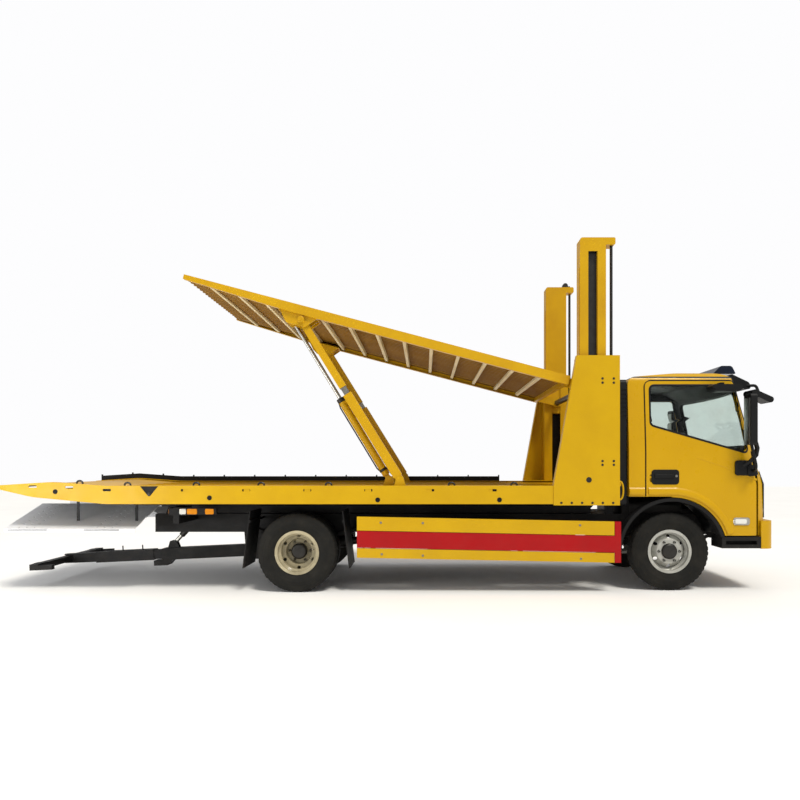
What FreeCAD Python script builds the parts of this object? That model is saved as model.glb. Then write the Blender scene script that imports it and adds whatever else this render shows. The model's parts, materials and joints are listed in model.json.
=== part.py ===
# A flatbed tow truck with a lifting upper deck, in millimetres.
# +X points forwards, +Z up, and the truck's right side is at -Y. The origin is on the ground,
# midway between the bumper's face and the tip of the bed, on the middle plane.
import FreeCAD, Part
import math
import os

V = FreeCAD.Vector
Y_AXIS = V(0, 1, 0)

# Places that the whole vehicle hangs on
half_length = 3970
front_axle_x = 2885
rear_axle_x = -955
running_gap = 0.3
moving_gap = 6
overrun = 40


def point(plane, u, v, w):
    """The point at u, v of a plane named by its two axes, w along the third."""
    places = {"xz": (u, w, v), "xy": (u, v, w), "yz": (w, u, v)}
    return V(*places[plane])


def outline(plane, corners, w):
    """A closed wire round corners (u, v) or (u, v, radius), at w along the plane's normal."""
    count = len(corners)
    flat = [V(c[0], c[1], 0) for c in corners]
    rounds = []
    for i, corner in enumerate(corners):
        here = flat[i]
        radius = corner[2] if len(corner) > 2 else 0
        if not radius:
            rounds.append((here, None, here))
            continue
        back = (flat[i - 1] - here).normalize()
        ahead = (flat[(i + 1) % count] - here).normalize()
        half = back.getAngle(ahead) / 2
        reach = radius / math.tan(half)
        inward = (back + ahead).normalize()
        centre = here + inward * (radius / math.sin(half))
        rounds.append((here + back * reach, centre - inward * radius, here + ahead * reach))
    edges = []
    for i, (start, middle, end) in enumerate(rounds):
        if middle is not None:
            arc = [point(plane, p.x, p.y, w) for p in (start, middle, end)]
            edges.append(Part.Arc(*arc).toShape())
        following = rounds[(i + 1) % count][0]
        if (following - end).Length > 0:
            a = point(plane, end.x, end.y, w)
            b = point(plane, following.x, following.y, w)
            edges.append(Part.LineSegment(a, b).toShape())
    return Part.Wire(edges)


def prism(plane, corners, w0, w1):
    """The solid between w0 and w1 whose section is the outline of corners."""
    face = Part.Face(outline(plane, corners, w0))
    return face.extrude(point(plane, 0, 0, w1 - w0))


def block(x0, x1, y0, y1, z0, z1):
    """A plain bar between two corners."""
    return Part.makeBox(x1 - x0, y1 - y0, z1 - z0, V(x0, y0, z0))


def rod_y(x, z, radius, y0, y1):
    """A round bar across the truck."""
    return Part.makeCylinder(radius, y1 - y0, V(x, y0, z), Y_AXIS)


def rod_x(y, z, radius, x0, x1):
    """A round bar along the truck."""
    return Part.makeCylinder(radius, x1 - x0, V(x0, y, z), V(1, 0, 0))


def rod_z(x, y, radius, z0, z1):
    """An upright round bar."""
    return Part.makeCylinder(radius, z1 - z0, V(x, y, z0), V(0, 0, 1))


def turned(corners, x, y, z):
    """Corners (across, radius) turned about a line across the truck through x, z, from y.
    Its seam lies between the holes and nuts of a wheel."""
    face = Part.Face(outline("yz", corners, 0))
    solid = face.revolve(V(0, 0, 0), Y_AXIS, 360)
    solid.rotate(V(0, 0, 0), Y_AXIS, wheel_seam_turn)
    solid.translate(V(x, y, z))
    return solid


def mirrored(shape):
    """The same piece on the other side of the truck."""
    return shape.mirror(V(0, 0, 0), Y_AXIS)


def joined(shapes):
    """One solid of shapes that overlap or share faces."""
    first, *others = shapes
    return first.multiFuse(others).removeSplitter() if others else first


def pair(shape):
    """A piece and its mirror image, kept apart."""
    return [shape, mirrored(shape)]


def ring(first_angle, count, x, z, radius, y0, y1, size):
    """Round bars across the truck, evenly round a circle."""
    bars = []
    for i in range(count):
        angle = first_angle + 2 * math.pi * i / count
        bars.append(rod_y(x + radius * math.cos(angle), z + radius * math.sin(angle), size, y0, y1))
    return bars


def swung(shape, x, z, degrees):
    """A piece turned about a line across the truck. A positive turn lifts its rear end."""
    return shape.rotated(V(x, 0, z), Y_AXIS, degrees)


def leaned(shape, start, end):
    """A piece modelled upright at the origin, laid from start (x, z) towards end (x, z)."""
    turn = math.degrees(math.atan2(end[0] - start[0], end[1] - start[1]))
    placed = shape.rotated(V(0, 0, 0), Y_AXIS, turn)
    placed.translate(V(start[0], 0, start[1]))
    return placed


nodes = {}
frame_parts = []


def node(name, shapes):
    """Keeps a piece, or like pieces that don't touch, under a node's name."""
    nodes[name] = shapes if isinstance(shapes, list) else [shapes]


# Wheels: 7.50R16 tyres, twins at the rear
wheel_seam_turn = 180 / 14
tyre_radius = 402.5
tyre_half_width = 104
tread_half_width = 84
tyre_shoulder_radius = 26
tyre_bulge_radius = 310
bead_radius = 206
bead_half_width = 72
wheel_lip_radius = 226
wheel_lip_width = 12
barrel_thickness = 9
barrel_drop = 22
disc_thickness = 10
front_disc_bulge = 66
disc_bolt_radius = 128
hub_radius = 82
hub_length = 92
hand_hole_circle_radius = 154
hand_hole_radius = 19
hand_hole_count = 6
twin_dish_radius = 124
twin_web_y = 58
twin_hole_circle_radius = 168
stud_radius = 11
stud_circle_radius = 108
stud_length = 20
front_wheel_y = 830
twin_outer_y = 940
twin_spacing = 236
wheel_z = tyre_radius


def tyre():
    """A tyre's rubber ring: bead, bulging walls, rounded shoulders and flat tread."""
    wall_r = tyre_bulge_radius
    bead = bead_half_width - running_gap
    return turned([(-bead, bead_radius + running_gap), (-bead, wheel_lip_radius),
                   (-tyre_half_width, wall_r, overrun),
                   (-tread_half_width, tyre_radius, tyre_shoulder_radius),
                   (tread_half_width, tyre_radius, tyre_shoulder_radius),
                   (tyre_half_width, wall_r, overrun), (bead, wheel_lip_radius),
                   (bead, bead_radius + running_gap)], 0, 0, 0)


def barrel():
    """The rolled barrel of a rim, with a lip each side that the tyre's beads seat against."""
    inner = bead_radius - barrel_thickness
    well = inner - barrel_drop
    b = bead_half_width
    lip = b - running_gap + wheel_lip_width
    return turned([(-lip, wheel_lip_radius), (-lip, inner), (-b / 2, inner), (-b / 4, well),
                   (b / 4, well), (b / 2, inner), (lip, inner), (lip, wheel_lip_radius),
                   (b, wheel_lip_radius), (b, bead_radius), (-b, bead_radius), (-b, wheel_lip_radius)],
                  0, 0, 0)


def disc(root, crown):
    """A pressed disc from the barrel at across=root to a bolting face at across=crown."""
    edge = bead_radius - barrel_thickness - barrel_drop + barrel_thickness / 2
    t = disc_thickness
    bore = hub_radius - t
    return turned([(root, edge), (crown, disc_bolt_radius, t), (crown, bore), (crown - t, bore),
                   (crown - t, disc_bolt_radius - t, t), (root - t, edge)], 0, 0, 0)


def hub(inside, outside):
    """The turned hub that carries the disc, with a rounded cap and a bore for the spindle."""
    return turned([(inside, spindle_radius + running_gap), (inside, hub_radius),
                   (outside, hub_radius, tyre_shoulder_radius), (outside, 0), (outside - disc_thickness, 0),
                   (outside - disc_thickness, spindle_radius + running_gap)], 0, 0, 0)


def holes_and_studs(rim, crown, bolted):
    """A rim with its hand holes cut and its wheel nuts standing on the bolting face."""
    reach = abs(crown) + bead_half_width
    cuts = ring(math.pi / 2, hand_hole_count, 0, 0, hand_hole_circle_radius, -reach, reach, hand_hole_radius)
    low, high = sorted((crown, crown + bolted * stud_length))
    nuts = ring(0, hand_hole_count, 0, 0, stud_circle_radius, low, high, stud_radius)
    return joined([rim.cut(Part.makeCompound(cuts))] + nuts)


spindle_radius = 30
front_hub_inside = -56
rear_hub_inside = -176


def front_rim():
    """A front wheel, its outer face towards +Y: a disc that bulges out round the hub."""
    wheel_hub = hub(front_hub_inside, hub_length)
    rim = joined([barrel(), disc(0, front_disc_bulge), wheel_hub])
    return holes_and_studs(rim, front_disc_bulge, 1)


def twin_rims():
    """A rear pair, its outer face towards +Y: dished discs bolted back to back at its middle."""
    half, t = twin_spacing / 2, disc_thickness
    bore = spindle_radius + running_gap
    dish, edge = twin_dish_radius, bead_radius - barrel_thickness / 2
    web = twin_web_y
    cone = dish + (twin_hole_circle_radius - hand_hole_radius - dish) / 2
    outer_side = [(t, hub_radius), (t, dish), (web + t, cone), (web + t, edge), (web, edge),
                  (web, cone + t / 2), (0, dish + t / 2)]
    inner_side = [(-across, radius) for across, radius in reversed(outer_side[:-1])]
    rims = turned([(rear_hub_inside, bore), (rear_hub_inside, hub_radius)]
                  + list(reversed(outer_side + inner_side))
                  + [(hub_length, hub_radius, tyre_shoulder_radius), (hub_length, 0), (hub_length - t, 0),
                     (hub_length - t, bore)], 0, 0, 0)
    for y in (-half, half):
        rolled = barrel()
        rolled.translate(V(0, y, 0))
        rims = rims.fuse(rolled)
    cuts = ring(math.pi / 2, hand_hole_count, 0, 0, twin_hole_circle_radius, -half, half, hand_hole_radius)
    nuts = ring(0, hand_hole_count, 0, 0, stud_circle_radius, t / 2, t + stud_length, stud_radius)
    return joined([rims.cut(Part.makeCompound(cuts))] + nuts)


def wheels():
    """Tyres and rims. Each side's rear pair turns as one."""
    half = twin_spacing / 2
    twin_y = twin_outer_y - half
    for side, name in ((1, "left"), (-1, "right")):
        rubber = tyre()
        rubber.translate(V(front_axle_x, side * front_wheel_y, wheel_z))
        rim = front_rim() if side > 0 else mirrored(front_rim())
        rim.translate(V(front_axle_x, side * front_wheel_y, wheel_z))
        node("front_tyre_" + name, rubber)
        node("front_rim_" + name, rim)
        twins = []
        for offset in (-half, half):
            rubber = tyre()
            rubber.translate(V(rear_axle_x, side * (twin_y + offset), wheel_z))
            twins.append(rubber)
        rim = twin_rims() if side > 0 else mirrored(twin_rims())
        rim.translate(V(rear_axle_x, side * twin_y, wheel_z))
        node("rear_tyres_" + name, twins)
        node("rear_rims_" + name, rim)


# Chassis: two C rails and what hangs on them
rail_y = 400
rail_width = 70
rail_thickness = 8
rail_bottom = 560
rail_top = 760
chassis_front_x = 3740
chassis_rear_x = -2620
crossmember_width = 90
crossmember_xs = (3630, 1150, -380, -1500, -2560)
crossmember_rise = 90
spring_width = 64
spring_half_length = 620
spring_thickness = 52
spring_camber = 76
front_spring_eye_z = 520
rear_spring_eye_z = 612
rear_spring_y = 490
axle_beam_height = 84
axle_beam_width = 76
kingpin_y = 700
kingpin_radius = 22
beam_drop = 60
knuckle_width = 84
knuckle_depth = 60
steering_arm_length = 150
steering_arm_radius = 16
axle_tube_radius = 62
diff_radius = 168
diff_half_width = 120
shackle_radius = 24


def spring_seats():
    """Each axle's place, its springs' eye height and their distance from the middle plane."""
    return ((front_axle_x, front_spring_eye_z, rail_y), (rear_axle_x, rear_spring_eye_z, rear_spring_y))


def crossmember(x):
    """A channel across the chassis between its rails."""
    t = rail_thickness
    reach = rail_y + rail_width / 2 - t / 2
    z0, z1 = rail_bottom + crossmember_rise, rail_top - rail_width / 2
    channel = [(x, z0), (x + crossmember_width, z0), (x + crossmember_width, z0 + t), (x + t, z0 + t),
               (x + t, z1 - t), (x + crossmember_width, z1 - t), (x + crossmember_width, z1), (x, z1)]
    return prism("xz", channel, -reach, reach)


def chassis():
    """The ladder frame: outward webs, flanges turned in, crossmembers and spring hangers."""
    out, inside = rail_y + rail_width / 2, rail_y - rail_width / 2
    t = rail_thickness
    section = [(out, rail_bottom), (out, rail_top), (inside, rail_top), (inside, rail_top - t),
               (out - t, rail_top - t), (out - t, rail_bottom + t), (inside, rail_bottom + t),
               (inside, rail_bottom)]
    rail = prism("yz", section, chassis_rear_x, chassis_front_x)
    parts = pair(rail) + [crossmember(x) for x in crossmember_xs]
    for axle_x, eye_z, y in spring_seats():
        for end in (-1, 1):
            x = axle_x + end * spring_half_length
            if y > rail_y:
                parts += pair(rod_y(x, eye_z, shackle_radius * 2, out - t,
                                    y - spring_width / 2 - running_gap))
                parts += pair(rod_y(x, eye_z, shackle_radius / 2, out - t, y + spring_width / 2))
                continue
            hanger = prism("xz", [(x - rail_width, rail_bottom + t), (x + rail_width, rail_bottom + t),
                                  (x + shackle_radius, eye_z - shackle_radius, shackle_radius),
                                  (x - shackle_radius, eye_z - shackle_radius, shackle_radius)],
                           out - t, out)
            parts += pair(hanger)
            parts += pair(rod_y(x, eye_z, shackle_radius / 2, inside, out))
    frame_parts.extend(parts)


def springs():
    """Leaf packs: arcs from eye to eye under each rail, thickest over the axle."""
    packs = []
    for axle_x, eye_z, y in spring_seats():
        low = eye_z - spring_camber
        ends = axle_x - spring_half_length, axle_x + spring_half_length
        tip = spring_thickness / 4
        lower = Part.Arc(V(ends[0], 0, eye_z - tip), V(axle_x, 0, low - spring_thickness),
                         V(ends[1], 0, eye_z - tip)).toShape()
        upper = Part.Arc(V(ends[1], 0, eye_z + tip), V(axle_x, 0, low), V(ends[0], 0, eye_z + tip)).toShape()
        sides = [Part.LineSegment(V(e, 0, eye_z - tip), V(e, 0, eye_z + tip)).toShape() for e in ends]
        face = Part.Face(Part.Wire([lower, sides[1], upper, sides[0]]))
        face.translate(V(0, y - spring_width / 2, 0))
        pack = face.extrude(V(0, spring_width - rail_thickness, 0))
        eye_cuts = [rod_y(e, eye_z, shackle_radius / 2 + running_gap, 0, 2 * rail_y) for e in ends]
        eyes = [rod_y(e, eye_z, shackle_radius, y - spring_width / 2,
                      y + spring_width / 2 - rail_thickness) for e in ends]
        packs += pair(joined([pack] + eyes).cut(Part.makeCompound(eye_cuts)))
    node("leaf_springs", packs)


def front_axle():
    """A forged I beam, dropped at its middle, with an upright eye at each end for the kingpin."""
    low = wheel_z - beam_drop
    z0, z1 = low - axle_beam_height / 2, low + axle_beam_height / 2
    end_y = kingpin_y - knuckle_depth
    beam = prism("yz", [(-end_y, z0 + beam_drop), (-rail_y - spring_width, z0), (rail_y + spring_width, z0),
                        (end_y, z0 + beam_drop), (end_y, z1 + beam_drop), (rail_y + spring_width, z1),
                        (-rail_y - spring_width, z1), (-end_y, z1 + beam_drop)],
                 front_axle_x - axle_beam_width / 2, front_axle_x + axle_beam_width / 2)
    web = rail_thickness
    for side in (-1, 1):
        x0 = front_axle_x + side * (web + axle_beam_width) / 2
        beam = beam.cut(prism("yz", [(-end_y, z0 + beam_drop + 2 * web), (-rail_y - spring_width,
                                                                          z0 + 2 * web),
                                     (rail_y + spring_width, z0 + 2 * web), (end_y, z0 + beam_drop + 2 * web),
                                     (end_y, z1 + beam_drop - 2 * web), (rail_y + spring_width, z1 - 2 * web),
                                     (-rail_y - spring_width, z1 - 2 * web),
                                     (-end_y, z1 + beam_drop - 2 * web)],
                              x0 - axle_beam_width / 2, x0 + axle_beam_width / 2))
    seat = front_spring_eye_z - spring_camber - spring_thickness
    eyes = [rod_z(front_axle_x, kingpin_y, kingpin_radius * 2, wheel_z - axle_beam_height / 2,
                  wheel_z + axle_beam_height / 2),
            block(front_axle_x - axle_beam_width / 2, front_axle_x + axle_beam_width / 2,
                  end_y - overrun / 2, kingpin_y, wheel_z - axle_beam_height / 2,
                  wheel_z + axle_beam_height / 2),
            block(front_axle_x - axle_beam_width, front_axle_x + axle_beam_width, rail_y - spring_width / 2,
                  rail_y + spring_width / 2, z1 - web, seat + rail_thickness)]
    pieces = [beam]
    for eye in eyes:
        pieces += pair(eye)
    bores = pair(rod_z(front_axle_x, kingpin_y, kingpin_radius + running_gap, 0, rail_top))
    node("front_axle", joined(pieces).cut(Part.makeCompound(bores + nodes["leaf_springs"])))


def knuckles():
    """Steering knuckles: a fork and pin round the axle's eye, a spindle and a steering arm."""
    gap = moving_gap
    top = wheel_z + axle_beam_height / 2 + gap
    bottom = wheel_z - axle_beam_height / 2 - gap
    half = knuckle_width / 2
    outer = front_wheel_y + front_hub_inside - moving_gap
    spindle_end = front_wheel_y + hub_length - disc_thickness - moving_gap
    parts = [rod_z(front_axle_x, kingpin_y, kingpin_radius, bottom - overrun / 2, top + overrun / 2)]
    for z0, z1 in ((bottom - knuckle_depth / 2, bottom), (top, top + knuckle_depth / 2)):
        parts.append(rod_z(front_axle_x, kingpin_y, half, z0, z1))
        parts.append(block(front_axle_x - half, front_axle_x + half, kingpin_y, outer, z0, z1))
    web_y = kingpin_y + 2 * kingpin_radius + gap
    parts.append(block(front_axle_x - half, front_axle_x + half, web_y, outer, bottom - knuckle_depth / 2,
                       top + knuckle_depth / 2))
    parts.append(rod_y(front_axle_x, wheel_z, spindle_radius, web_y, spindle_end))
    arm_z = bottom - knuckle_depth / 2
    parts.append(rod_x(kingpin_y, arm_z + steering_arm_radius, steering_arm_radius,
                       front_axle_x - steering_arm_length, front_axle_x))
    left = joined(parts)
    node("knuckle_left", left)
    node("knuckle_right", mirrored(left))


def rear_axle():
    """A banjo axle: tapering tubes, a round housing, spindles, spring seats and a pinion nose."""
    seat = rear_spring_eye_z - spring_camber - spring_thickness
    twin_y = twin_outer_y - twin_spacing / 2
    inner_face = twin_y + rear_hub_inside - moving_gap
    tube = turned([(-inner_face, 0), (-inner_face, axle_tube_radius), (-diff_half_width, axle_tube_radius),
                   (0, (diff_radius + axle_tube_radius) / 2, diff_half_width),
                   (diff_half_width, axle_tube_radius),
                   (inner_face, axle_tube_radius), (inner_face, 0)], rear_axle_x, 0, wheel_z)
    banjo = rod_x(0, wheel_z, diff_radius, rear_axle_x - diff_half_width, rear_axle_x + diff_half_width)
    nose = Part.makeCone(diff_radius * 2 / 3, diff_radius / 3, diff_radius,
                         V(rear_axle_x + diff_half_width, 0,
                         wheel_z), V(1, 0, 0))
    spindle_end = twin_y + hub_length - disc_thickness - moving_gap
    parts = [tube, banjo, nose, rod_y(rear_axle_x, wheel_z, spindle_radius, -spindle_end, spindle_end)]
    parts += pair(block(rear_axle_x - axle_beam_width, rear_axle_x + axle_beam_width,
                        rear_spring_y - spring_width / 2, rear_spring_y + spring_width / 2, wheel_z,
                        seat + rail_thickness))
    node("rear_axle", joined(parts).cut(Part.makeCompound(nodes["leaf_springs"])))


# Engine, gearbox, propeller shaft, tank and guards under the frame
engine_x0 = 2420
engine_x1 = 3240
engine_half_width = 270
engine_z0 = 480
engine_z1 = 930
gearbox_length = 620
gearbox_radius = 165
gearbox_z = 620
shaft_radius = 45
coupling_radius = shaft_radius * 3 / 2
tank_x0 = 380
tank_x1 = 1240
tank_y0 = -900
tank_y1 = -460
tank_z0 = 360
tank_z1 = 700
tank_corner = 60
battery_x0 = 320
battery_x1 = 900
sump_radius = 60


def driveline():
    """The engine as one plain block, a tapering gearbox behind it and the shaft to the axle."""
    web = rail_y - rail_width / 2 - engine_half_width
    engine = prism("yz", [(-engine_half_width, engine_z0, sump_radius),
                          (engine_half_width, engine_z0, sump_radius),
                          (engine_half_width, engine_z1, web), (-engine_half_width, engine_z1, web)],
                   engine_x0, engine_x1)
    reach = rail_y + rail_width / 2 - rail_thickness
    mount_x = (engine_x0 + engine_x1) / 2
    mount = block(mount_x - sump_radius, mount_x + sump_radius, -reach, reach, gearbox_z,
                  gearbox_z + sump_radius)
    box_x = engine_x0 - gearbox_length
    box = Part.makeCone(gearbox_radius, gearbox_radius / 2, gearbox_length, V(engine_x0, 0, gearbox_z),
                        V(-1, 0, 0))
    end_x = rear_axle_x + diff_half_width + diff_radius
    rise = gearbox_z - wheel_z
    run = box_x - end_x
    length = math.hypot(run, rise)
    shaft = Part.makeCylinder(shaft_radius, length, V(end_x, 0, wheel_z), V(run, 0, rise))
    shaft = shaft.fuse(Part.makeCylinder(coupling_radius, gearbox_radius, V(end_x, 0, wheel_z),
                                         V(run, 0, rise)))
    whole = joined([engine, mount, box, shaft,
                    rod_x(0, gearbox_z, shaft_radius, box_x, engine_x0 + shaft_radius)])
    node("driveline", whole.cut(nodes["rear_axle"][0]))


def tank_and_battery():
    """Fuel tank on the right and battery box on the left, each strapped to its rail."""
    corners = [(tank_y0, tank_z0, tank_corner), (tank_y1, tank_z0, tank_corner),
               (tank_y1, tank_z1, tank_corner), (tank_y0, tank_z1, tank_corner)]
    tank = prism("yz", corners, tank_x0, tank_x1)
    grown = [(tank_y0 - rail_thickness, tank_z0 - rail_thickness, tank_corner),
             (tank_y1 + rail_thickness, tank_z0 - rail_thickness, tank_corner),
             (tank_y1 + rail_thickness, tank_z1 + rail_thickness, tank_corner),
             (tank_y0 - rail_thickness, tank_z1 + rail_thickness, tank_corner)]
    strap_x = (tank_x1 - tank_x0) / 4
    parts = [tank]
    for x in (tank_x0 + strap_x, tank_x1 - strap_x):
        parts.append(prism("yz", grown, x - tank_corner / 2, x + tank_corner / 2))
        parts.append(block(x - tank_corner / 2, x + tank_corner / 2, tank_y1, -rail_y - rail_width / 2,
                           tank_z1 - tank_corner * 2, tank_z1 - tank_corner))
    box = prism("yz", [(-tank_y0, tank_z0, rail_thickness), (-tank_y1, tank_z0, rail_thickness),
                       (-tank_y1, tank_z1, rail_thickness), (-tank_y0, tank_z1, rail_thickness)],
                battery_x0, battery_x1)
    arm = block(battery_x0, battery_x1, rail_y + rail_width / 2, -tank_y1, tank_z1 - tank_corner * 2,
                tank_z1 - tank_corner)
    node("tank_and_battery", [joined(parts), joined([box, arm])])


# Side panels: three flat planks that drop towards the front, on arms from the rails
panel_x0 = -335
panel_x1 = 2330
panel_rear_top = 777
panel_rear_bottom = 362
panel_fall = 51
panel_outer_y = 1100
panel_thickness = 28
plank_gap = 5
upper_plank_height = 140
stripe_height = 168
panel_arm_size = 50
panel_end_cap = 62


def side_panels():
    """Yellow upper and lower planks with a red one between, red end caps and their arms."""
    y0, y1 = panel_outer_y - panel_thickness, panel_outer_y
    slope = panel_fall / (panel_x1 - panel_x0)

    def plank(x0, x1, below_top, height):
        tops = [panel_rear_top - below_top - slope * (x - panel_x0) for x in (x0, x1)]
        return prism("xz", [(x0, tops[0] - height), (x1, tops[1] - height), (x1, tops[1]), (x0, tops[0])],
                     y0, y1)

    cap_x = panel_x1 - panel_end_cap
    whole = panel_rear_top - panel_rear_bottom
    stripe_top = upper_plank_height + plank_gap
    lower_top = stripe_top + stripe_height + plank_gap
    yellow = [plank(panel_x0, cap_x - plank_gap, 0, upper_plank_height),
              plank(panel_x0, cap_x - plank_gap, lower_top, whole - lower_top)]
    red = joined([plank(panel_x0, panel_x1, stripe_top, stripe_height), plank(cap_x, panel_x1, 0, whole)])
    arms = []
    lean = panel_arm_size / 2
    for share in panel_arm_shares:
        x = panel_x0 + share * (panel_x1 - panel_x0)
        top = panel_rear_top - slope * (x - panel_x0)
        upright = prism("xz", [(x - lean, top - whole + lean), (x + lean, top - whole + lean),
                               (x + lean, top - lean), (x - lean, top - lean)], y0 - lean, y0)
        arm_z = rail_bottom + panel_arm_size
        arms.append(joined([upright, block(x - lean, x + lean, rail_y + rail_width / 2, y0,
                                           arm_z, arm_z + panel_arm_size)]))
    node("side_panels", pair(yellow[0]) + pair(yellow[1]))
    node("side_stripes", pair(red))
    for arm in arms:
        frame_parts.extend(pair(arm))


panel_arm_shares = (0.06, 0.62, 0.94)

# Mudguards round the rear twins, and the tail lamps
flap_thickness = 12
flap_inner_y = 560
flap_outer_y = 1060
flap_gap = 62
flap_bottom = 250
flap_top = 830
flap_lean = 70
lamp_beam_x = -2180
lamp_beam_size = 60
lamp_beam_z = 700
lamp_beam_half = 1040
lamp_z0 = 785
lamp_z1 = 865
lamp_length = 380
lamp_depth = 45
lamp_inner_y = 640


def mudguards():
    """Leaning flaps before and behind the twins, on stays from the rails."""
    r = tyre_radius + flap_gap
    stay = rail_thickness * 3
    flaps = []
    for end in (-1, 1):
        x = rear_axle_x + end * r
        low = x + end * flap_lean
        t = end * flap_thickness
        flap = prism("xz", [(low, flap_bottom), (low + t, flap_bottom), (x + t, flap_top), (x, flap_top)],
                     flap_inner_y, flap_outer_y)
        bar = block(min(x, x + t), max(x, x + t), rail_y + rail_width / 2, flap_outer_y,
                    rail_top - 2 * stay, rail_top - stay)
        flaps += pair(joined([flap, bar]))
    node("mudguards", flaps)


def tail_lamps():
    """An arm out from each rail at the tail, with a lamp box and a long side marker on it."""
    half = lamp_beam_size / 2
    x0, x1 = lamp_beam_x - half, lamp_beam_x + half
    arm = block(x0, x1, rail_y + rail_width / 2, lamp_beam_half, lamp_beam_z, lamp_beam_z + lamp_beam_size)
    post = block(x0, x1, lamp_beam_half - lamp_beam_size, lamp_beam_half, lamp_beam_z, lamp_z1)
    inner_post = block(x0, x1, lamp_inner_y, lamp_inner_y + half, lamp_beam_z, lamp_z1)
    frame_parts.extend(pair(joined([arm, post, inner_post])))
    corner = lamp_depth / 4
    lamp = prism("yz", [(lamp_inner_y, lamp_z0, corner), (lamp_beam_half, lamp_z0, corner),
                        (lamp_beam_half, lamp_z1, corner), (lamp_inner_y, lamp_z1, corner)], x0 - lamp_depth,
                        x0)
    marker = prism("xz", [(x1, lamp_z0), (x1 + lamp_length, lamp_z0 + corner, corner / 2),
                          (x1 + lamp_length, lamp_z1 - corner, corner / 2), (x1, lamp_z1)],
                   lamp_beam_half - lamp_depth, lamp_beam_half)
    node("tail_lamps", pair(lamp) + pair(marker))


# Cab: a tilt cab with rounded front corners, leaning screen and tumblehome sides
cab_rear_x = 2440
cab_nose_x = 3935
cab_step_z = 975
cab_bottom_z = 575
nose_top_z = 1100
screen_base_x = 3865
screen_base_z = 1290
screen_top_x = 3650
screen_top_z = 2090
roof_front_x = 3480
roof_z = 2255
roof_rear_drop = 50
cab_half_width = 997.5
belt_z = 1450
roof_half_width = 930
cab_wall = 45
cab_corner_radius = 250
roof_corner_radius = 120
screen_bow = 50
bow_radius = 2600
rear_corner_radius = 90
roof_brow_radius = 380
roof_crown = 3
arch_radius = 560
footwell_back_x = 3425
tunnel_x1 = 3800
tunnel_y = 441
tunnel_z = 945
far_back = 1000


def shrunk(corners, inset):
    """The outline with each side moved inwards, or outwards where inset is negative."""
    count = len(corners)
    flat = [V(c[0], c[1], 0) for c in corners]
    area = sum(flat[i - 1].x * flat[i].y - flat[i].x * flat[i - 1].y for i in range(count))
    turn = 1 if area > 0 else -1
    moved = []
    for i, corner in enumerate(corners):
        here = flat[i]
        a = (here - flat[i - 1]).normalize()
        b = (flat[(i + 1) % count] - here).normalize()
        na, nb = V(-a.y, a.x, 0) * turn, V(-b.y, b.x, 0) * turn
        shift = (na + nb) * (inset / (1 + na.dot(nb)))
        radius = corner[2] if len(corner) > 2 else 0
        convex = (a.x * b.y - a.y * b.x) * turn > 0
        radius = max(radius + (-inset if convex else inset), 0) if radius else 0
        moved.append((here.x + shift.x, here.y + shift.y, radius))
    return moved


def cab_side(step_x):
    """The cab's side outline. Behind step_x its floor is up over the wheel. Its front stands clear
    of the nose and screen, which the plan gives, up to the line that falls from the roof."""
    brow_x = 2 * screen_top_x - roof_front_x
    brow_z = 2 * screen_top_z - roof_z
    return [(cab_rear_x, cab_step_z), (step_x, cab_step_z), (step_x, cab_bottom_z),
            (cab_nose_x + overrun, cab_bottom_z), (cab_nose_x + overrun, brow_z - overrun), (brow_x, brow_z),
            (roof_front_x, roof_z, roof_brow_radius), ((cab_rear_x + roof_front_x) / 2, roof_z, far_back),
            (cab_rear_x, roof_z - roof_rear_drop, rear_corner_radius)]


def cab_front():
    """The cab's outline from the front: clear of the plan below the belt, leaning in above it."""
    w, r = cab_half_width, roof_half_width
    lean = (w - r) / (roof_z - belt_z)
    low = belt_z - 2 * overrun
    foot = w + lean * 2 * overrun
    top = roof_z + roof_crown
    return [(-w - overrun, 0), (w + overrun, 0), (w + overrun, low), (foot, low),
            (r - lean * roof_crown, top, roof_corner_radius),
            (lean * roof_crown - r, top, roof_corner_radius),
            (-foot, low), (-w - overrun, low)]


def cab_plan(front_x):
    """The cab's outline from above, with a bowed front and rounded corners."""
    w = cab_half_width
    return [(front_x - 2 * far_back, -w), (front_x - screen_bow, -w, cab_corner_radius),
            (front_x, -w / 3, bow_radius), (front_x, w / 3, bow_radius),
            (front_x - screen_bow, w, cab_corner_radius), (front_x - 2 * far_back, w)]


def cab_tube(inset):
    """The cab's skin without a floor or roof, or a smaller one inside it."""
    front = prism("yz", shrunk(cab_front(), inset), 0, 2 * half_length)
    fall = (screen_base_x - screen_top_x) / (screen_top_z - screen_base_z)
    top = roof_z + 2 * overrun
    levels = [(0, cab_nose_x), (nose_top_z, cab_nose_x), (screen_base_z, screen_base_x),
              (top, screen_base_x - fall * (top - screen_base_z))]
    slabs = []
    for (z0, x0), (z1, x1) in zip(levels, levels[1:]):
        face = Part.Face(outline("xy", shrunk(cab_plan(x0), inset), z0))
        slabs.append(face.extrude(V(x1 - x0, 0, z1 - z0)).common(front))
    return joined(slabs)


def cab_solid(inset, step_x=front_axle_x):
    """The cab's outer form, or a smaller one inside it."""
    return cab_tube(inset).common(prism("xz", shrunk(cab_side(step_x), inset), -far_back * 2, far_back * 2))


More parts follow.
